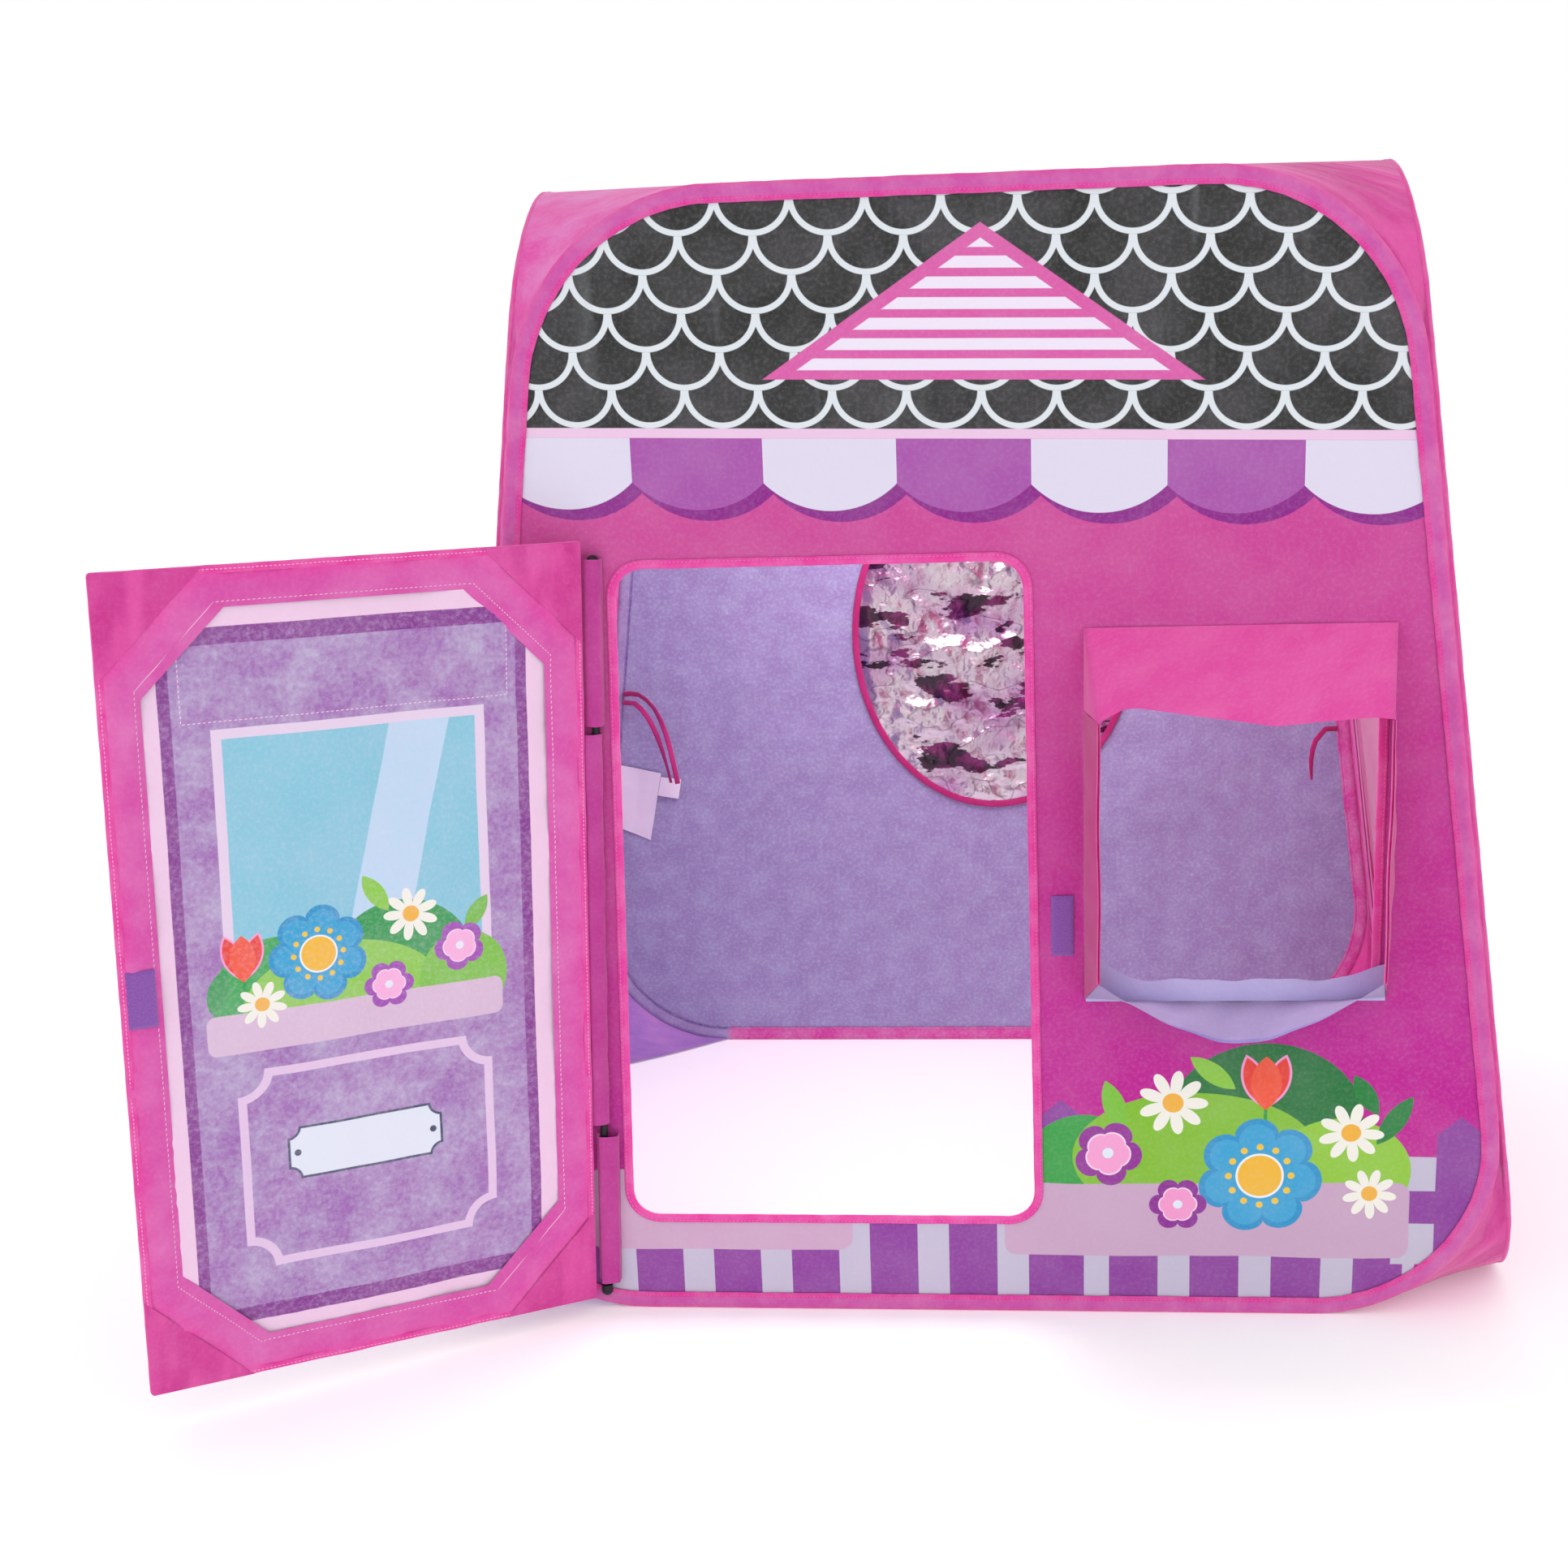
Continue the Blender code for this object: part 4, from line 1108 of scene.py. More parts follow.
def make_door_print():
    p = Paint("door_print", 0.78, sheen=0.2)
    x = (p.x - door_hinge_edge) * (print_width / (door_width - door_hinge_edge)) + print_left
    y = (p.y - door_bottom) * (print_height / door_height) + print_bottom
    soft = p.noise(22, 4.0, 0.65)
    fine = p.noise(150, 3.0, 0.7)
    heather = p.steep(soft * 0.6 + fine * 0.4, 0.40, 0.66)
    lavender = p.over(linear("9c68b0"), heather, linear("b8abcd"))
    plum = p.over(linear("853990"), p.steep(fine, 0.5, 0.75), linear("a377b4"))
    colour = p.over(linear("ecc9e4"), p.edge(box_shape(p, x, y, 0.0593, 0.0660, 0.3710, 0.6810)), plum)
    colour = p.over(colour, p.edge(box_shape(p, x, y, 0.0690, 0.0800, 0.3612, 0.6665)), lavender)
    colour = p.over(colour, p.edge(box_shape(p, x, y, 0.0985, 0.345, 0.3305, 0.5965)), linear("e3cfe7"))
    glass = box_shape(p, x, y, 0.1070, 0.345, 0.3220, 0.5880)
    gleam = p.maths("ABSOLUTE", x + (y - 0.5885) * 0.238 - 0.1555) - 0.0262
    pane = p.over(linear("86c5da"), p.edge(gleam), linear("bcd6ee"))
    colour = p.over(colour, p.edge(glass), pane)
    sill = 0.335 - y
    colour = stamp(
        p, colour,
        (p.maths("MAXIMUM", round_shape(p, x, y, 0.180, 0.372, 0.064, 0.060), sill), "2f9a50"),
        (p.maths("MAXIMUM", round_shape(p, x, y, 0.288, 0.362, 0.056, 0.052), sill), "3aa655"),
        (p.maths("MAXIMUM", round_shape(p, x, y, 0.232, 0.350, 0.086, 0.052), sill), "8cc84b"),
        (p.maths("MAXIMUM", round_shape(p, x, y, 0.125, 0.355, 0.040, 0.042), sill), "7fc04a"),
        (leaf_shape(p, x, y, 0.200, 0.440, 0.040, 0.016, 1.0), "8cc84b"),
        (leaf_shape(p, x, y, 0.112, 0.412, 0.036, 0.015, 2.2), "76bb45"),
        (leaf_shape(p, x, y, 0.338, 0.372, 0.040, 0.017, 1.9), "2f9a50"),
        (box_shape(p, x, y, 0.0895, 0.3150, 0.3495, 0.3500, 0.008), "d6bad4"),
    )
    colour = tulip(p, colour, x, y, 0.316, 0.398, 0.024)
    colour = daisy(p, colour, x, y, 0.170, 0.418, 0.024)
    colour = big_flower(p, colour, x, y, 0.252, 0.394, 0.043, 7, 0.2)
    colour = round_flower(p, colour, x, y, 0.128, 0.384, 0.023, 5, "a04fb2", "f3b0dc", "e4e6f4", 0.3)
    colour = round_flower(p, colour, x, y, 0.192, 0.357, 0.022, 6, "a04fb2", "f3b0dc", "e4e6f4")
    colour = daisy(p, colour, x, y, 0.302, 0.356, 0.021, 0.4)
    frame_line = notched_shape(p, x, y, 0.1015, 0.1140, 0.3275, 0.2985, 0.0235) + 0.0038
    frame_line = p.maths("ABSOLUTE", frame_line) - 0.0038
    plaque = notched_shape(p, x, y, 0.1495, 0.1915, 0.2875, 0.2400, 0.0100)
    dots = p.maths("ABSOLUTE", x - 0.2185) - 0.0605
    colour = stamp(
        p, colour,
        (frame_line, "e0c3e3"),
        (plaque, "46506b"),
        (plaque + 0.0022, "dfe5f2"),
        (p.size(dots, y - 0.2157) - 0.0030, "46506b"),
    )
    double = p.maths("ABSOLUTE", box_shape(p, x, y, 0.0770, 0.6030, 0.3535, 0.6840)) - 0.0004
    dash = p.steep(p.maths("SINE", (x + y) * (2 * math.pi / 0.0042)), -0.4, 0.2)
    colour = p.over(colour, p.edge(double, 0.0004) * dash, linear("f3c9e6"))
    return cloth_paint(p, colour, linear("eddcf2"), 0.10, 0.16)


def make_facing_paint():
    p = Paint("facing_paint", 0.76, sheen=0.25)
    inset = 0.0290
    left, bottom = door_hinge_edge + inset, door_bottom + inset
    right, top = door_width - inset, door_bottom + door_height - inset
    u = p.maths("ABSOLUTE", p.x - (left + right) / 2) - (right - left) / 2
    v = p.maths("ABSOLUTE", p.y - (bottom + top) / 2) - (top - bottom) / 2
    cut = (u + v + 0.067) * 0.7071
    line = p.maths("MAXIMUM", p.maths("MAXIMUM", u, v), cut)
    dash = p.steep(p.maths("SINE", (p.x + p.y * 0.9) * (2 * math.pi / 0.0042)), -0.5, 0.1)
    stitches = p.edge(p.maths("ABSOLUTE", line) - 0.0004, 0.0004)
    colour = p.over(linear("d34ca4"), p.steep(line, 0.012, 0.026), linear("df3d9f"))
    colour = p.over(colour, stitches * dash, linear("f6bfe2"))
    p.bump(stitches, -0.0004, 0.7)
    return cloth_paint(p, colour, linear("e58cc8"), 0.45, 0.15)


def make_net_paint(name, mesh):
    p = Paint(name, 0.62, sheen=0.3)
    pitch = 2 * math.pi / 0.0016
    row = p.maths("SINE", p.x * pitch) * p.maths("SINE", p.y * pitch)
    hole = p.steep(p.maths("ABSOLUTE", row), mesh, mesh + 0.10)
    p.feed(p.shader.inputs["Alpha"], 1.0 - hole)
    colour = p.over(linear("c2177e"), p.steep(p.noise(30, 2.0), 0.4, 0.7) * 0.3, linear("d8429a"))
    p.bump(p.maths("ABSOLUTE", row), -0.0002, 0.6)
    return p.done(colour)


def make_foil_paint():
    p = Paint("foil_paint", 0.16, 1.0)
    tint = p.steep(p.noise(9, 2.0, 0.5), 0.45, 0.60)
    colour = p.over(linear("d0cdd0"), tint, linear("b898ba"))
    fold = p.noise(12, 2.5, 0.45, (1, 1.5), 0.5)
    ridge = p.maths("ABSOLUTE", fold - 0.5)
    # Painted shade: dark crumple shadows in the foil, tinted magenta as a painted reflection of the pink cloth round
    # the mirror
    dark = p.steep(p.noise(10, 5.0, 0.60, (1, 2.6), 0.5), 0.560, 0.576)
    shade = p.over(linear("1d0a1c"), p.steep(p.noise(30, 2.0), 0.42, 0.58), linear("761c60"))
    # Painted crease shade: thin dark lines along the fold ridges, then the dark crumple patches laid over them
    colour = p.over(colour, p.steep(ridge, 0.012, 0.0) * 0.5, linear("4c2748"))
    colour = p.over(colour, dark * 0.92, shade)
    p.bump(fold, 0.020, 1.0)
    p.bump(ridge, 0.012, 1.0)
    p.bump(p.maths("ABSOLUTE", p.noise(34, 3.0, 0.6) - 0.5), 0.006, 0.8)
    p.feed(p.shader.inputs["Roughness"], p.steep(p.noise(60, 2.0), 0.3, 0.8) * 0.15 + 0.27)
    return p.done(colour)


def make_hook_paint():
    p = Paint("hook_paint", 0.95, sheen=0.6)
    pile = p.noise(900, 3.0, 0.8)
    colour = p.over(linear("7a3b9e"), p.steep(pile, 0.35, 0.65), linear("9a62bb"))
    p.bump(pile, 0.0008, 1.0)
    return p.done(colour)


def make_web_paint():
    """Pink cloth that turns to lavender at the bottom corner; y runs up the corner."""
    p = Paint("web_paint", 0.78, sheen=0.25)
    colour = p.over(linear("9d74c4"), p.steep(p.y, web_turn, web_turn + 0.004), linear("dd4fa6"))
    return cloth_paint(p, colour, linear("e0a3dc"), 0.4, 0.15, 1.0, 1.5)


def make_shelf_paint():
    p = Paint("shelf_paint", 0.8, sheen=0.2)
    colour = p.over(linear("988bb8"), p.steep(p.y, shelf_hem, shelf_hem + 0.0008), linear("7f76b8"))
    return cloth_paint(p, colour, linear("ada3cc"), 0.4, 0.2)


def make_back_sleeve_paint():
    """Pink outside and along the floor; inside, the wall's own cloth reaches over it up to the seam."""
    p = Paint("back_sleeve_paint", 0.76, sheen=0.25)
    turn = math.pi / 2 + lean
    start = front_bottom_radius * turn
    end = start + 2 * (floor_half_width - front_bottom_radius * math.tan(turn / 2))
    middle = (start + end) / 2
    floor_run = p.steep(p.maths("ABSOLUTE", p.x - middle), (end - start) / 2 + 0.004, (end - start) / 2 - 0.004)
    top = middle + outline_length(wall_outline(end_wall_corners(), end_radii, 0)) / 2
    left_half = p.steep(p.x, middle - 0.001, middle + 0.001) * p.steep(p.x, top + 0.001, top - 0.001)
    inside = p.steep(p.y, sleeve_across / 2 - 0.0008, sleeve_across / 2 + 0.0008) * (1.0 - floor_run) * left_half
    colour = p.over(linear("cf3f9d"), inside, linear("9587b8"))
    lip = p.steep(p.y, sleeve_across - 0.0030, sleeve_across - 0.0020)
    colour = p.over(colour, lip * inside, linear("5f3a92"))
    return cloth_paint(p, colour, p.over(colour, 0.5, linear("e4e0f2")), 0.45, 0.3, 1.0, 1.6)


def make_corner_paint():
    """Pink cloth pulled into long creases over the door's corners, with painted shade in the crease valleys and painted
    light on the ridges.
    """
    p = Paint("corner_paint", 0.74, sheen=0.25)
    pull = p.noise(30, 2.0, 0.5, (1, 0.28), 0.8)
    p.bump(pull, 0.008, 0.9)
    # Painted shade and light: the colour follows the crease heights, darker pink in the valleys, lighter on the ridges
    colour = p.over(linear("c92f8c"), p.steep(pull, 0.45, 0.62), linear("dc4a9f"))
    return cloth_paint(p, colour, linear("e877ba"), 0.3, 0.15, 1.4)


def make_floor_paint():
    p = Paint("studio_floor_paint", 0.8)
    p.shader.inputs["Emission Color"].default_value = (1.0, 1.0, 1.0, 1.0)
    p.shader.inputs["Emission Strength"].default_value = floor_glow
    return p.done(p.over(linear("fbfbfb"), p.noise(3.0), linear("ffffff")))


def make_black_plastic():
    p = Paint("black_plastic_paint", 0.35)
    return p.done(p.over(linear("141418"), p.noise(200, 2.0) * 0.4, linear("2c2c33")))


def measure(profile):
    return sum(math.dist(a, b) for a, b in zip(profile, profile[1:]))


sleeve_across = measure(sleeve_profile)
binding_across = measure(binding_profile)
front_print = make_front_print()
door_print = make_door_print()
facing_paint = make_facing_paint()
net_paint = make_net_paint("net_paint", 0.86)
cheek_paint = make_net_paint("cheek_net_paint", 0.92)
foil_paint = make_foil_paint()
hook_paint = make_hook_paint()
web_paint = make_web_paint()
shelf_paint = make_shelf_paint()
black_paint = make_black_plastic()
sleeve_paint = tape_paint(
    "sleeve_paint", "c850a4", "da84ba", "dc4299", "dc3297", sleeve_across, "e855ae", [sleeve_across / 2 - 0.0042]
)
back_sleeve_paint = make_back_sleeve_paint()
binding_paint = tape_paint(
    "binding_paint", "e23f9c", "ee86c4", "e8349a", "e2359b", binding_across, "f178c0", [binding_across / 2 - 0.0030]
)
hem_paint = tape_paint(
    "hem_paint", "e2409f", "ee86c4", "e8349a", "e2359b", 0.0180, "f3a6d4", [0.0050]
)
pelmet_paint = plain_paint("pelmet_paint", "e0479f", "ea7fbd", 0.35, 0.2)
plain_pink = plain_paint("plain_pink", "d64fa3", "df78b8", 0.5, 0.2)
plain_lavender = plain_paint("plain_lavender", "9789ba", "b4bedb", 0.32, 0.5, 1.0, 0.25, 2.2)
# Painted light: the shelf's lavender made lighter for its back lip, to make up for the shade inside the bay
lit_lip_paint = plain_paint("shelf_lip_paint", "b9afe0", "cfc7ee", 0.4, 0.2)
corner_paint = make_corner_paint()
# Painted shade: the hinge sleeves' pink is darker than the wall's, standing in for the shade along the hinge
shaded_strip_paint = plain_paint("shaded_strip_paint", "b6328c", "c95aa4", 0.5, 0.25, 1.2)
dark_tape = plain_paint("dark_tape_paint", "ac1768", "c8408d", 0.4, 0.2, 0.6)
tag_paint = plain_paint("tag_paint", "e4dcee", "f4f0f8", 0.4, 0.1)
floor_paint = make_floor_paint()
bpy.data.objects["hinge_rod"].data.materials[0] = black_paint
bpy.data.objects["rod_cap_top"].data.materials[0] = black_paint
bpy.data.objects["rod_cap_bottom"].data.materials[0] = black_paint


# Ties: flat ribbons that leave the back wall's sleeve and hang down

def ribbon(name, points, width, thickness, roll):
    """A flat ribbon along the points, with a thin oval section; roll turns it along its length."""
    turns = 10
    places, runs, faces = [], [], []
    run = 0.0
    flat = Vector((0.3, 0, 1))
    for i, point in enumerate(points):
        before = points[max(i - 1, 0)]
        after = points[min(i + 1, len(points) - 1)]
        run += (point - before).length
        ahead = (after - before).normalized()
        flat = (flat - ahead * flat.dot(ahead)).normalized()
        out = ahead.cross(flat)
        twist = roll * math.sin(run * 38)
        wide = flat * math.cos(twist) + out * math.sin(twist)
        thin = out * math.cos(twist) - flat * math.sin(twist)
        for k in range(turns):
            angle = 2 * math.pi * k / turns
            places.append(point + wide * (math.cos(angle) * width / 2) + thin * (math.sin(angle) * thickness / 2))
            runs.append((run, width * (0.5 - math.cos(angle) / 2)))
    for i in range(len(points) - 1):
        for k in range(turns):
            a = i * turns + k
            b = i * turns + (k + 1) % turns
            faces.append((a, b, b + turns, a + turns))
    last = (len(points) - 1) * turns
    faces.append(tuple(range(turns))[::-1])
    faces.append(tuple(range(last, last + turns)))
    return mesh_object(name, places, faces, runs)


def tie(name, side, start_height, steps, roll):
    start = floor_half_width - start_height * math.tan(lean) - sleeve_width * (1 + lip_start_share) / 2
    route = [(side * start, back_y - lip - touch_gap, start_height)]
    for inwards, away, drop in steps:
        route.append((side * (start - inwards), back_y - away, start_height - drop))
    route = [Vector(p) for p in spaced(smooth_route(route), 0.004, closed=False)]
    obj = ribbon(name + "_ribbon", route, 2.6 * tie_radius, 0.0014, roll)
    settle(obj, here, dark_tape, [name])
    length = outline_length(route, closed=False)
    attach(obj, "back_wall")
    if side < 0:
        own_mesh(obj)


tie("tie_left_long", -1, left_long_tie_height, left_long_tie_steps, 0.5)
tie("tie_left_short", -1, left_short_tie_height, left_short_tie_steps, -0.6)
tie("tie_right", 1, right_tie_height, right_tie_steps, 0.7)


# Walls: a panel in a sleeve, which covers the panel's edge and holds the wire loop

def build_wall(name, corners, radii, place, holes, colour, lift, body):
    panel_loop = wall_outline(corners, radii, sleeve_width * panel_edge_share)
    panel = flat_cloth(name + "_panel_cloth", [panel_loop] + holes, lift)
    settle(panel, place, colour, [name + "_panel"])
    declare_panel([panel_loop] + holes)
    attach(panel, body)
    outer_loop = wall_outline(corners, radii, 0)
    sleeve = tape(name + "_sleeve_cloth", outer_loop, sleeve_profile, wobble=0.0003)
    settle(sleeve, place, back_sleeve_paint if name == "back" else sleeve_paint, [name + "_sleeve"])
    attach(sleeve, body)


def bound_hole(name, corners, radius, place, body):
    """Folds a tape over the edge of a hole. Returns the hole in the fabric."""
    path = rounded(corners, [radius] * len(corners), 8)
    binding = tape(name + "_tape", path[::-1], binding_profile, wobble=0.0002)
    settle(binding, place, binding_paint, [name])
    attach(binding, body)
    edge = -(tape_thickness + touch_gap)
    return rounded(inset_corners(corners, edge), [radius - edge] * len(corners), 8)


def patch(name, corners, radius, level, rise, place, colour, body):
    """A small sewn patch whose edge bends down to what it is sewn on."""
    loop = rounded(corners, [radius] * len(corners), 4)

    def lift(x, y, far, along):
        return level + rise * numpy.clip(far / 0.0016, 0, 1) ** 0.5
    obj = flat_cloth(name + "_cloth", [loop], lift, 0.0022)
    settle(obj, place, colour, [name])
    declare_panel([loop])
    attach(obj, body)


def front_wall():
    doorway = [
        (opening_left_floor, opening_bottom),
        (opening_right_floor, opening_bottom),
        (opening_right_top, opening_top),
        (opening_left_top, opening_top),
    ]
    window = box_corners(bay_left + window_margin, window_bottom, bay_right - window_margin, window_top)
    holes = [
        bound_hole("door_opening_binding", doorway, opening_radius, front_frame, "front_wall"),
        bound_hole("window_opening_binding", window, window_radius, front_frame, "front_wall"),
    ]
    corners = end_wall_corners()
    build_wall(
        "front", corners, end_radii, front_frame, holes, front_print, stretched(3), "front_wall"
    )
    loop_patch = box_corners(
        loop_patch_x - loop_patch_width / 2,
        patch_height - loop_patch_height / 2,
        loop_patch_x + loop_patch_width / 2,
        patch_height + loop_patch_height / 2,
    )
    patch(
        "jamb_loop_patch", loop_patch, 0.001, 0.0008, 0.0014, front_frame, hook_paint,
        "front_wall",
    )


def mesh_window(name, left, bottom, right, top, place, body):
    """A net behind a hole in the panel, and the tape round it. Returns the hole."""
    corners = box_corners(left, bottom, right, top)
    net_loop = rounded(inset_corners(corners, -mesh_lap), [mesh_radius + mesh_lap] * 4, 10)

    def lift(x, y, far, along):
        return -0.0014 - 0.0012 + 0.6 * waves(x, y, 11, 0.0009, 0.16, 0.03)
    net = flat_cloth(name + "_mesh_net", [net_loop], lift)
    settle(net, place, net_paint, [name + "_mesh"])
    declare_panel([net_loop])
    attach(net, body)
    hole = rounded(corners, [mesh_radius] * 4, 10)
    profile = smooth_profile([
        (-mesh_lap, -0.0012), (-mesh_lap + 0.0004, -0.0030), (-0.0010, -0.0032), (0.0, -0.0031), (0.0003, -0.0012)
    ])
    profile = smooth_profile(
        [(-0.0052, -0.0006), (-0.0050, -0.0036), (-0.0020, -0.0038), (-0.0003, -0.0036), (0.0, -0.0012), (0.0, 0.0007)]
    )
    binding = tape(name + "_mesh_binding_tape", hole, profile, wobble=0.0001)
    settle(binding, place, dark_tape, [name + "_mesh_binding"])
    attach(binding, body)
    return hole


def side_walls():
    top = slant - right_mesh_drop
    end = depth - right_mesh_margin
    hole = mesh_window("right", right_mesh_margin, right_mesh_bottom, end, top, right_frame, "right_wall")
    corners = side_wall_corners()
    build_wall("right", corners, side_radii, right_frame, [hole], plain_pink, stretched(5), "right_wall")
    top = slant - left_mesh_drop
    bottom = top - left_mesh_height
    left = left_mesh_margin - depth
    hole = mesh_window("left", left, bottom, -left_mesh_margin, top, left_frame, "left_wall")
    corners = [(x - depth, y) for x, y in corners]
    build_wall(
        "left", corners, side_radii, left_frame, [hole], plain_lavender, stretched(7), "left_wall"
    )


def back_wall():
    corners = end_wall_corners()
    taut = stretched(9)

    def flat_at_mirror(x, y, far, along):
        away = numpy.hypot((x + mirror_x) / mirror_half_width, (y - mirror_z) / mirror_half_height)
        return taut(x, y, far, along) * numpy.clip((away - 1.05) / 0.4, 0, 1)
    build_wall(
        "back", corners, end_radii, back_frame, [], plain_lavender, flat_at_mirror, "back_wall"
    )
    film_loop = ellipse(-mirror_x, mirror_z, mirror_half_width, mirror_half_height)

    def crinkle(x, y, far, along):
        folds = numpy.abs(waves(x, y, 21, 0.0016, 0.10, 0.016, 9))
        return -0.0024 - (0.0024 + folds) * numpy.clip(far / 0.012, 0, 1)
    film = flat_cloth("mirror_film_sheet", [film_loop], crinkle, 0.0045)
    settle(film, back_frame, foil_paint, ["mirror_film"])
    declare_panel([film_loop])
    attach(film, "back_wall")
    profile = smooth_profile([(-0.0075, -0.0014), (-0.0066, -0.0034), (-0.0030, -0.0040), (0.0, -0.0036), (0.0008, -0.0016)])
    binding = tape("mirror_binding_tape", film_loop, profile, 0.006, wobble=0.0002)
    settle(binding, back_frame, dark_tape, ["mirror_binding"])
    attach(binding, "back_wall")
    tag_edge = floor_half_width - tag_top * math.tan(lean) - sleeve_width + tag_lap
    for name, corners, seed in (("large_tag", large_tag_corners, 1), ("small_tag", small_tag_corners, 2)):
        loop = [(tag_edge - inwards, tag_top - drop) for inwards, drop in corners]

        def curl(x, y, far, along):
            return -0.0026 - 0.5 * numpy.abs(waves(x, y, seed, 0.0016, 0.12, 0.05, 3))
        tag = flat_cloth(name + "_cloth", [loop], curl, 0.005)
        settle(tag, back_frame, tag_paint, [name])
        declare_panel([loop])
        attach(tag, "back_wall")


# Bay window: a sloping pelmet, a net cheek on each side and a sagging shelf

def pelmet_edge(along):
    """How far the pelmet's front edge is above the straight line between its corners."""
    places = (0, 0.04, 0.09, 0.13, 0.6, 0.93, 1)
    heights = (0, 0.006, 0.0125, 0.0128, -0.0045, 0.002, 0)
    return float(numpy.interp(along, places, heights))


def pelmet():
    rows = []
    for fall in shares(16):
        z = mix(bay_top, pelmet_bottom, fall)
        y = bay_wall_y - bay_depth * fall
        left = bay_side(-1, fall)
        right = bay_side(1, fall)
        row = [(bay_left, bay_wall_y, z), ((bay_left + left) / 2, (bay_wall_y + y) / 2, z)]
        for along in shares(36):
            lift = pelmet_edge(along) * fall**1.5
            swell = 0.0035 * math.sin(math.pi * fall) * math.sin(math.pi * along)
            fold = 0.0009 * fall * math.sin(along * 23) * math.sin(math.pi * along)
            row.append((mix(left, right, along), y - touch_gap - swell - fold, z + lift))
        row += [((bay_right + right) / 2, (bay_wall_y + y) / 2, z), (bay_right, bay_wall_y, z)]
        rows.append(row)
    obj = row_cloth("bay_pelmet_cloth", rows)
    settle(obj, here, pelmet_paint, ["bay_pelmet"])
    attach(obj, "front_wall")


def cheek(name, side):
    """The net on one side, from the wall to the binding at the bay's front edge."""
    rows = []
    for rise in shares(24):
        row = []
        for share in shares(10):
            out = share * (1 - bay_edge_radius / bay_depth)
            swell = mesh_bulge * math.sin(math.pi * share) * math.sin(math.pi * rise)
            ripple = 0.0007 * math.sin(rise * 31 + 4 * share) * math.sin(math.pi * share)
            low = shelf_side_height(out)
            top = pelmet_bottom - 0.0005
            row.append((bay_side(side, out) + side * (swell + ripple), bay_wall_y - bay_depth * out, mix(low, top, rise)))
        rows.append(row)
    obj = row_cloth(name + "_net", rows)
    settle(obj, here, cheek_paint, [name])
    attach(obj, "front_wall")


def bay_edge(name, side):
    """The tape folded over the net's front edge, from the pelmet's corner down to the shelf's."""
    x = bay_side(side, 1)
    y = bay_wall_y - bay_depth
    top = pelmet_bottom - 0.0006
    rows = []
    for rise in shares(28):
        z = mix(shelf_end, top, rise)
        sway = 0.0008 * math.sin(rise * 9 + side) * math.sin(math.pi * rise)
        row = []
        for k in range(9):
            angle = math.pi * (0.16 + 1.68 * k / 8) + math.pi / 2
            reach = bay_edge_radius * (1 if 2 < k < 6 else 1.25)
            row.append((x + sway + math.cos(angle) * bay_edge_radius * 0.8, y - math.sin(angle) * reach, z))
        rows.append(row)
    obj = row_cloth(name + "_tape", rows)
    settle(obj, here, binding_paint, [name])
    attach(obj, "front_wall")


def shelf():
    rows = []
    for share in shares(14):
        left = bay_side(-1, share) + 0.0006
        right = bay_side(1, share) - 0.0006
        low = mix(shelf_back, shelf_low, share)
        row = []
        for along in shares(40):
            rise = min(1.0, abs(2 * along - 1) ** 1.6)
            fold = 0.0008 * math.sin(along * 34 + share * 3) * math.sin(math.pi * along)
            z = mix(low, shelf_side_height(share), rise) + fold
            row.append((mix(left, right, along), bay_wall_y - (bay_depth - bay_edge_radius) * share, z))
        rows.append(row)
    obj = row_cloth("bay_shelf_cloth", rows)
    settle(obj, here, shelf_paint, ["bay_shelf"])
    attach(obj, "front_wall")
    shelf_lip()


def shelf_lip():
    """The shelf's back edge, sewn over the window's lower binding and up the two cheeks."""
    rows = []
    for share in shares(6):
        row = []
        for along in shares(60):
            ends = lip_rise_left * max(0.0, 1 - 5 * along) ** 1.6 + lip_rise_right * max(0.0, 5 * along - 4) ** 1.6
            fold = 0.0009 * math.sin(along * 21 + 1) + 0.0006 * math.sin(along * 47)
            top = window_bottom + 0.0030 + ends + fold
            z = mix(top, shelf_back - 0.0005, share)
            y = mix(-0.0034, bay_wall_y - 0.0034, share) - 0.0016 * math.sin(math.pi * share)
            row.append((mix(bay_left + 0.0012, bay_right - 0.0012, along), y, z))
        rows.append(row)
    obj = row_cloth("bay_shelf_lip_cloth", rows)
    # The lip's paint is the shelf's lavender with painted light
    settle(obj, here, lit_lip_paint, ["bay_shelf"])
    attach(obj, "front_wall")


# Door: a printed cloth and a pink facing in one hem, with a wire loop between them

wire_loop_steps = 16


def door_wire_loop():
    return rounded(door_corners(door_wire_inset), [door_wire_corner] * 4, wire_loop_steps)


def door_cloth(name, loops, lift, cell, colour, nodes):
    obj = flat_cloth(name, loops, lift, cell)
    settle(obj, door_frame, colour, nodes)
    declare_panel(loops)
    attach(obj, "door")
    return obj


def wire_ridge(x, y):
    """How far the hidden wire loop pushes the facing out."""
    ring = [tuple(p) for p in spaced(door_wire_loop(), 0.01)]
    far = nearest(numpy.column_stack((x, y)), [ring])[0]
    return 0.0009 * numpy.exp(-((far / 0.0028) ** 2))


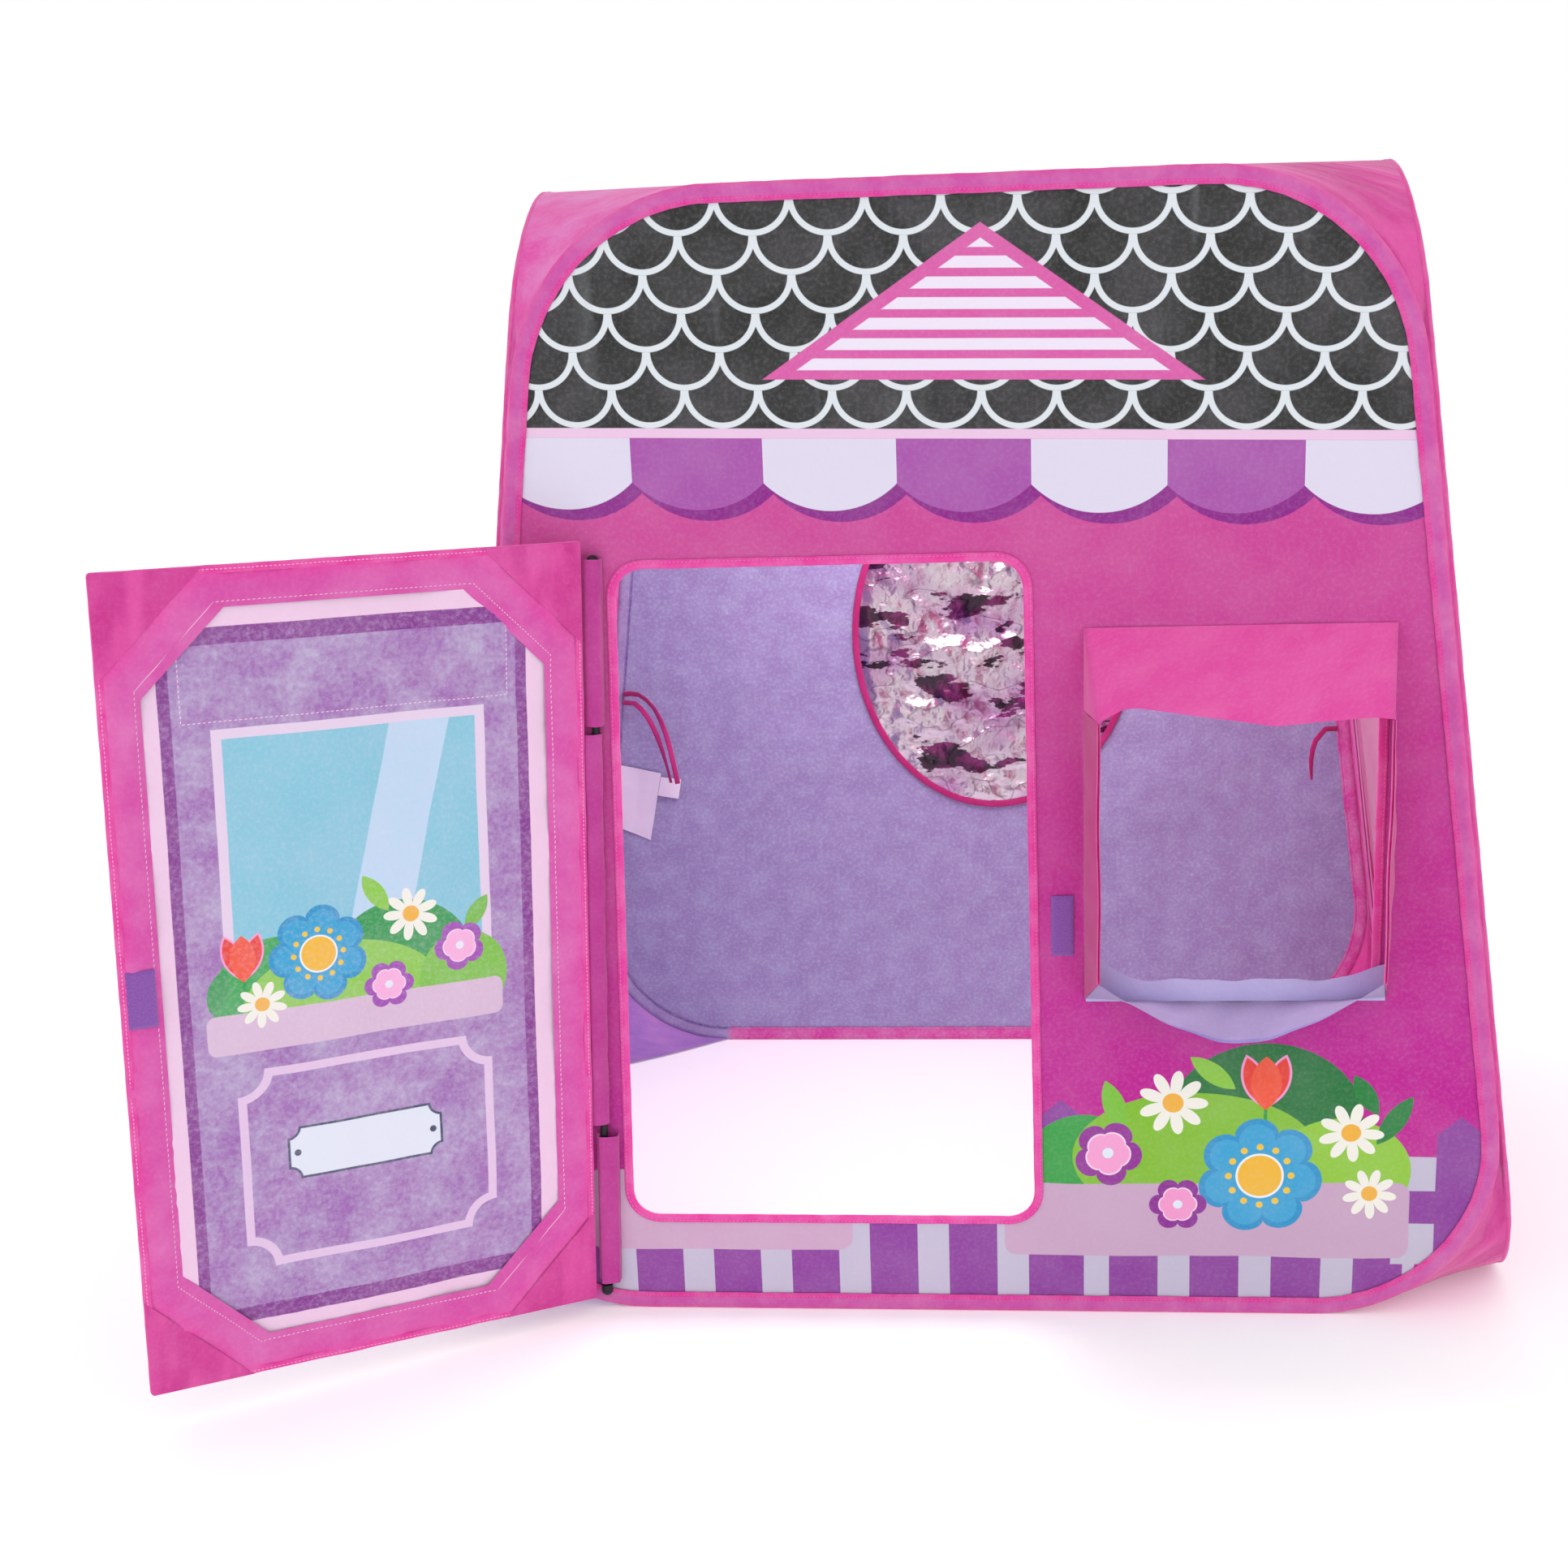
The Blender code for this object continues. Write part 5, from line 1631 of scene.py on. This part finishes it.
def door():
    outline = rounded(door_corners(), [door_corner_radius] * 4, 5)
    opening = octagon(door_border, door_corner_cut)

    def panel_lift(x, y, far, along):
        return 0.0025 + numpy.clip(far / 0.02, 0, 1) * (waves(x, y, 31, 0.0009, 0.22, 0.04)
                                                       + puckers(far, along, 0.03, 0.0006, 0.02, 0.02))
    door_cloth("door_panel_cloth", [outline], panel_lift, 0.009, door_print, ["door_panel"])

    def facing_lift(x, y, far, along):
        seam = nearest(numpy.column_stack((x, y)), [opening])[0]
        share = numpy.clip(seam / 0.007, 0, 1)
        return -0.0023 * share + 0.0009 * (1 - share) - wire_ridge(x, y) + share * waves(x, y, 33, 0.0004, 0.08, 0.02)
    door_cloth(
        "door_facing_cloth", [outline, opening], facing_lift, 0.006, facing_paint, ["door_facing"]
    )
    profile = smooth_profile([
        (0.0062, -0.0023), (0.0055, -0.0030), (0.0015, -0.0031), (-0.0003, -0.0018), (-0.0004, 0.0012),
        (0.0004, 0.0034), (0.0050, 0.0036), (0.0058, 0.0026),
    ])
    hem = tape("door_hem_tape", outline, profile, wobble=0.0002)
    settle(hem, door_frame, hem_paint, ["door_hem"])
    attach(hem, "door")
    corners = door_corners()
    for i, place in enumerate(["low_hinge", "low_free", "high_free", "high_hinge"]):
        corner = Vector(corners[i])
        on = (Vector(corners[(i + 1) % 4]) - corner).normalized()
        back = (Vector(corners[i - 1]) - corner).normalized()
        loop = rounded([tuple(corner), tuple(corner + on * door_patch_leg), tuple(corner + back * door_patch_leg)],
                       [door_corner_radius, 0, 0], 4)

        def patch_lift(x, y, far, along):
            fan = 0.0005 * numpy.sin(((x - corner.x) * (on + back).x + (y - corner.y) * (on + back).y) * 190 + i)
            ease = numpy.clip(far / 0.006, 0, 1)
            return -0.0034 - wire_ridge(x, y) - ease * (numpy.abs(fan) + numpy.abs(waves(x, y, 40 + i, 0.0005, 0.06, 0.02)))
        door_cloth(
            "door_corner_" + place + "_cloth", [loop], patch_lift, 0.0055, corner_paint,
            ["door_corner_" + place],
        )
    hook = box_corners(
        door_width - hook_patch_edge - hook_patch_width,
        patch_height - hook_patch_height / 2,
        door_width - hook_patch_edge,
        patch_height + hook_patch_height / 2,
    )
    patch(
        "door_hook_patch", hook, 0.001, -0.0031, -0.0014, door_frame, hook_paint,
        "door",
    )


# Hinge: cloth sleeves on the rod, two sewn to the front wall and one to the door

def rod_cloth(name, section, bottom, top, place, node, body, colour):
    """A cloth drawn along the rod; the section's points are (across, outwards)."""
    rows = []
    count = round((top - bottom) / 0.009)
    for share in shares(count):
        t = mix(bottom, top, share)
        row = []
        for k, (u, v) in enumerate(section):
            free = math.sin(math.pi * k / (len(section) - 1))
            ripple = 0.00035 * free * (math.sin(t * 130 + k * 0.8) + math.sin(t * 57 + k * 0.5))
            row.append((u + ripple, t, v + ripple * 0.6))
        rows.append(row)
    obj = row_cloth(name, rows)
    settle(obj, place, colour, [node])
    width = outline_length([tuple(p) for p in section], closed=False)
    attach(obj, body)


def tent_sleeve(name, left, right, bottom, top):
    foot = -(rod_offset - 0.0012)
    crest = cap_radius + 0.0008
    section = [
        (-left, foot), (-left + 0.0010, foot + 0.0022), (-left + 0.0034, foot + 0.0048),
        (-left * 0.5, crest - 0.0026), (-0.0040, crest - 0.0008), (0, crest), (0.0036, crest - 0.0008),
        (right - 0.0012, crest - 0.0046), (right - 0.0004, foot + 0.0022), (right, foot),
    ]
    rod_cloth(name + "_cloth", smooth_profile(section), bottom, top, rod_frame, name, "front_wall", shaded_strip_paint)


def door_sleeve():
    skin = rod_radius + rod_room + rod_sleeve_skin
    section = [(door_sleeve_flange, 0.0037), (door_sleeve_flange - 0.004, 0.0044), (0.020, 0.0043), (0.010, 0.0046)]
    for k in range(7):
        angle = math.radians(65 + 35 * k)
        section.append((skin * math.cos(angle), skin * math.sin(angle)))
    section += [(0.0052, -0.0050), (0.0092, -0.0036), (0.0112, -0.0012)]
    rod_cloth(
        "door_hinge_sleeve_cloth", smooth_profile(section), door_sleeve_bottom, door_sleeve_top, door_frame,
        "door_hinge_sleeve", "door", shaded_strip_paint,
    )


# Corner cloths: each fills the rounded corners between two neighbouring sleeves and the seam between them

def corner_cloth(side, face):
    where = ("front" if face < 0 else "back") + "_" + ("left" if side < 0 else "right")
    low_end, low_side = corner_paths(False)
    high_end, high_side = corner_paths(True)
    seam = [seam_points(mix(low_end[-1][1], high_end[0][1], share)) for share in shares(70)][1:-1]
    end_points = low_end + [a for a, b in seam] + high_end
    side_points = low_side + [b for a, b in seam] + high_side
    rows = []
    for j, ((x, z), (y, up)) in enumerate(zip(end_points, side_points)):
        a = end_wall_point(x, z, side, face)
        b = side_wall_point(y, up, side, face)
        width = (b - a).length
        row = []
        for share in shares(9):
            point = a.lerp(b, share)
            slack = math.sin(math.pi * share) * min(1.0, width / 0.05)
            crease = 0.0012 * math.sin(j * 0.9 + share * 5) + 0.0008 * math.sin(j * 2.1 + side)
            point += Vector((-side, -face, 0)) * (slack * (0.003 + crease))
            point.z = max(point.z, web_floor_gap)
            row.append(point)
        rows.append(row)
    obj = row_cloth("corner_cloth_" + where, rows)
    nodes = [kind + "_" + where for kind in ("top_corner", "bottom_corner", "corner_seam")]
    settle(obj, here, web_paint if side < 0 else corner_paint, nodes)
    area = sum(
        (rows[j + 1][4] - rows[j][4]).length * (rows[j][-1] - rows[j][0]).length for j in range(len(rows) - 1)
    )
    long_side = sum((rows[j + 1][4] - rows[j][4]).length for j in range(len(rows) - 1))
    widest = max((row[-1] - row[0]).length for row in rows)
    if face < 0:
        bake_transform(obj)
    elif side > 0:
        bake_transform(obj)
    else:
        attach(obj, "left_wall")
        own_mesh(obj)


# Roof: one sagging cloth between the four sleeves, which rises to the corner cloths at its cut corners

def roof():
    level = height - roof_drop
    clear = 0.0010
    half_x = floor_half_width - level * math.tan(lean) + (mid_offset - clear) / math.cos(lean)
    half_y = back_y / 2 - clear
    on_end, on_side = roof_cut()
    along_cut = (on_side - on_end).normalized()
    across_cut = Vector((-along_cut.y, along_cut.x))
    if across_cut.dot(on_end) < 0:
        across_cut = -across_cut
    loop = [(on_end.x, -half_y), (half_x, -on_side.y), (half_x, on_side.y), (on_end.x, half_y)]
    loop += [(-x, y) for x, y in loop[::-1]]

    def lift(x, y, far, along):
        u, v = x / half_x, y / half_y
        sag = roof_sag * (1 - u**2) * (1 - v**2)
        near = 1 + ((abs(x) - on_end.x) * across_cut.x + (abs(y) - on_end.y) * across_cut.y) / roof_rise_reach
        edge = numpy.minimum(half_x - abs(x), half_y - abs(y)) / roof_edge_reach
        rise = roof_corner_rise * numpy.clip(near, 0, 1) ** 2 * numpy.clip(edge, 0, 1)
        ease = numpy.clip(far / 0.03, 0, 1)
        return rise - sag + ease * waves(x, y, 51, 0.0016, 0.3, 0.06) + puckers(far, along, 0.0, 0.0008, 0.03, 0.03)
    obj = flat_cloth("roof_cloth", [loop], lift)
    settle(obj, Matrix.Translation((0, back_y / 2, level)), plain_pink, ["roof_panel"])
    declare_panel([loop])
    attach(obj, "front_wall")
    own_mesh(obj)


front_wall()
side_walls()
back_wall()
pelmet()
cheek("bay_mesh_left", -1)
cheek("bay_mesh_right", 1)
bay_edge("bay_edge_left", -1)
bay_edge("bay_edge_right", 1)
shelf()
door()
tent_sleeve(
    "hinge_sleeve_upper", upper_sleeve_left, upper_sleeve_right, upper_sleeve_bottom - 0.002, upper_sleeve_top + 0.0105
)
tent_sleeve("hinge_sleeve_lower", lower_sleeve_left, lower_sleeve_right, lower_sleeve_bottom, lower_sleeve_top)
door_sleeve()
for side in (-1, 1):
    for face in (-1, 1):
        corner_cloth(side, face)
roof()

# Studio: a pale floor and soft light from all round

def area_light(name, place, target, size, power):
    data = bpy.data.lights.new(name, "AREA")
    data.shape = "SQUARE"
    data.size = size
    data.energy = power
    lamp = bpy.data.objects.new(name, data)
    lamp.location = place
    lamp.rotation_euler = (Vector(target) - Vector(place)).to_track_quat("-Z", "Y").to_euler()
    scene.collection.objects.link(lamp)
    return lamp


area_light("key_light", (-1.6, -2.6, 2.6), (0, 0.2, 0.5), 2.0, key_power)
area_light("fill_light", (2.2, -2.2, 1.6), (0, 0.2, 0.5), 2.0, fill_power)
area_light("back_light", (0.3, 2.8, 2.6), (0, 0.3, 0.7), 2.2, back_power)
cabin = area_light("cabin_light", (0, back_y / 2, 0.93), (0, back_y / 2, 0), 0.5, cabin_power)
cabin.visible_camera = False

floor_mesh = bpy.data.meshes.new("studio_floor")
reach = floor_reach
floor_mesh.from_pydata([(-reach, -reach, 0), (reach, -reach, 0), (reach, reach, 0), (-reach, reach, 0)], [], [(0, 1, 2, 3)])
floor_object = bpy.data.objects.new("studio_floor", floor_mesh)
floor_object.data.materials.append(floor_paint)
scene.collection.objects.link(floor_object)

world = bpy.data.worlds.new("studio")
world.use_nodes = True
world.node_tree.nodes["Background"].inputs["Color"].default_value = (1.0, 1.0, 1.0, 1.0)
world.node_tree.nodes["Background"].inputs["Strength"].default_value = world_strength
scene.world = world
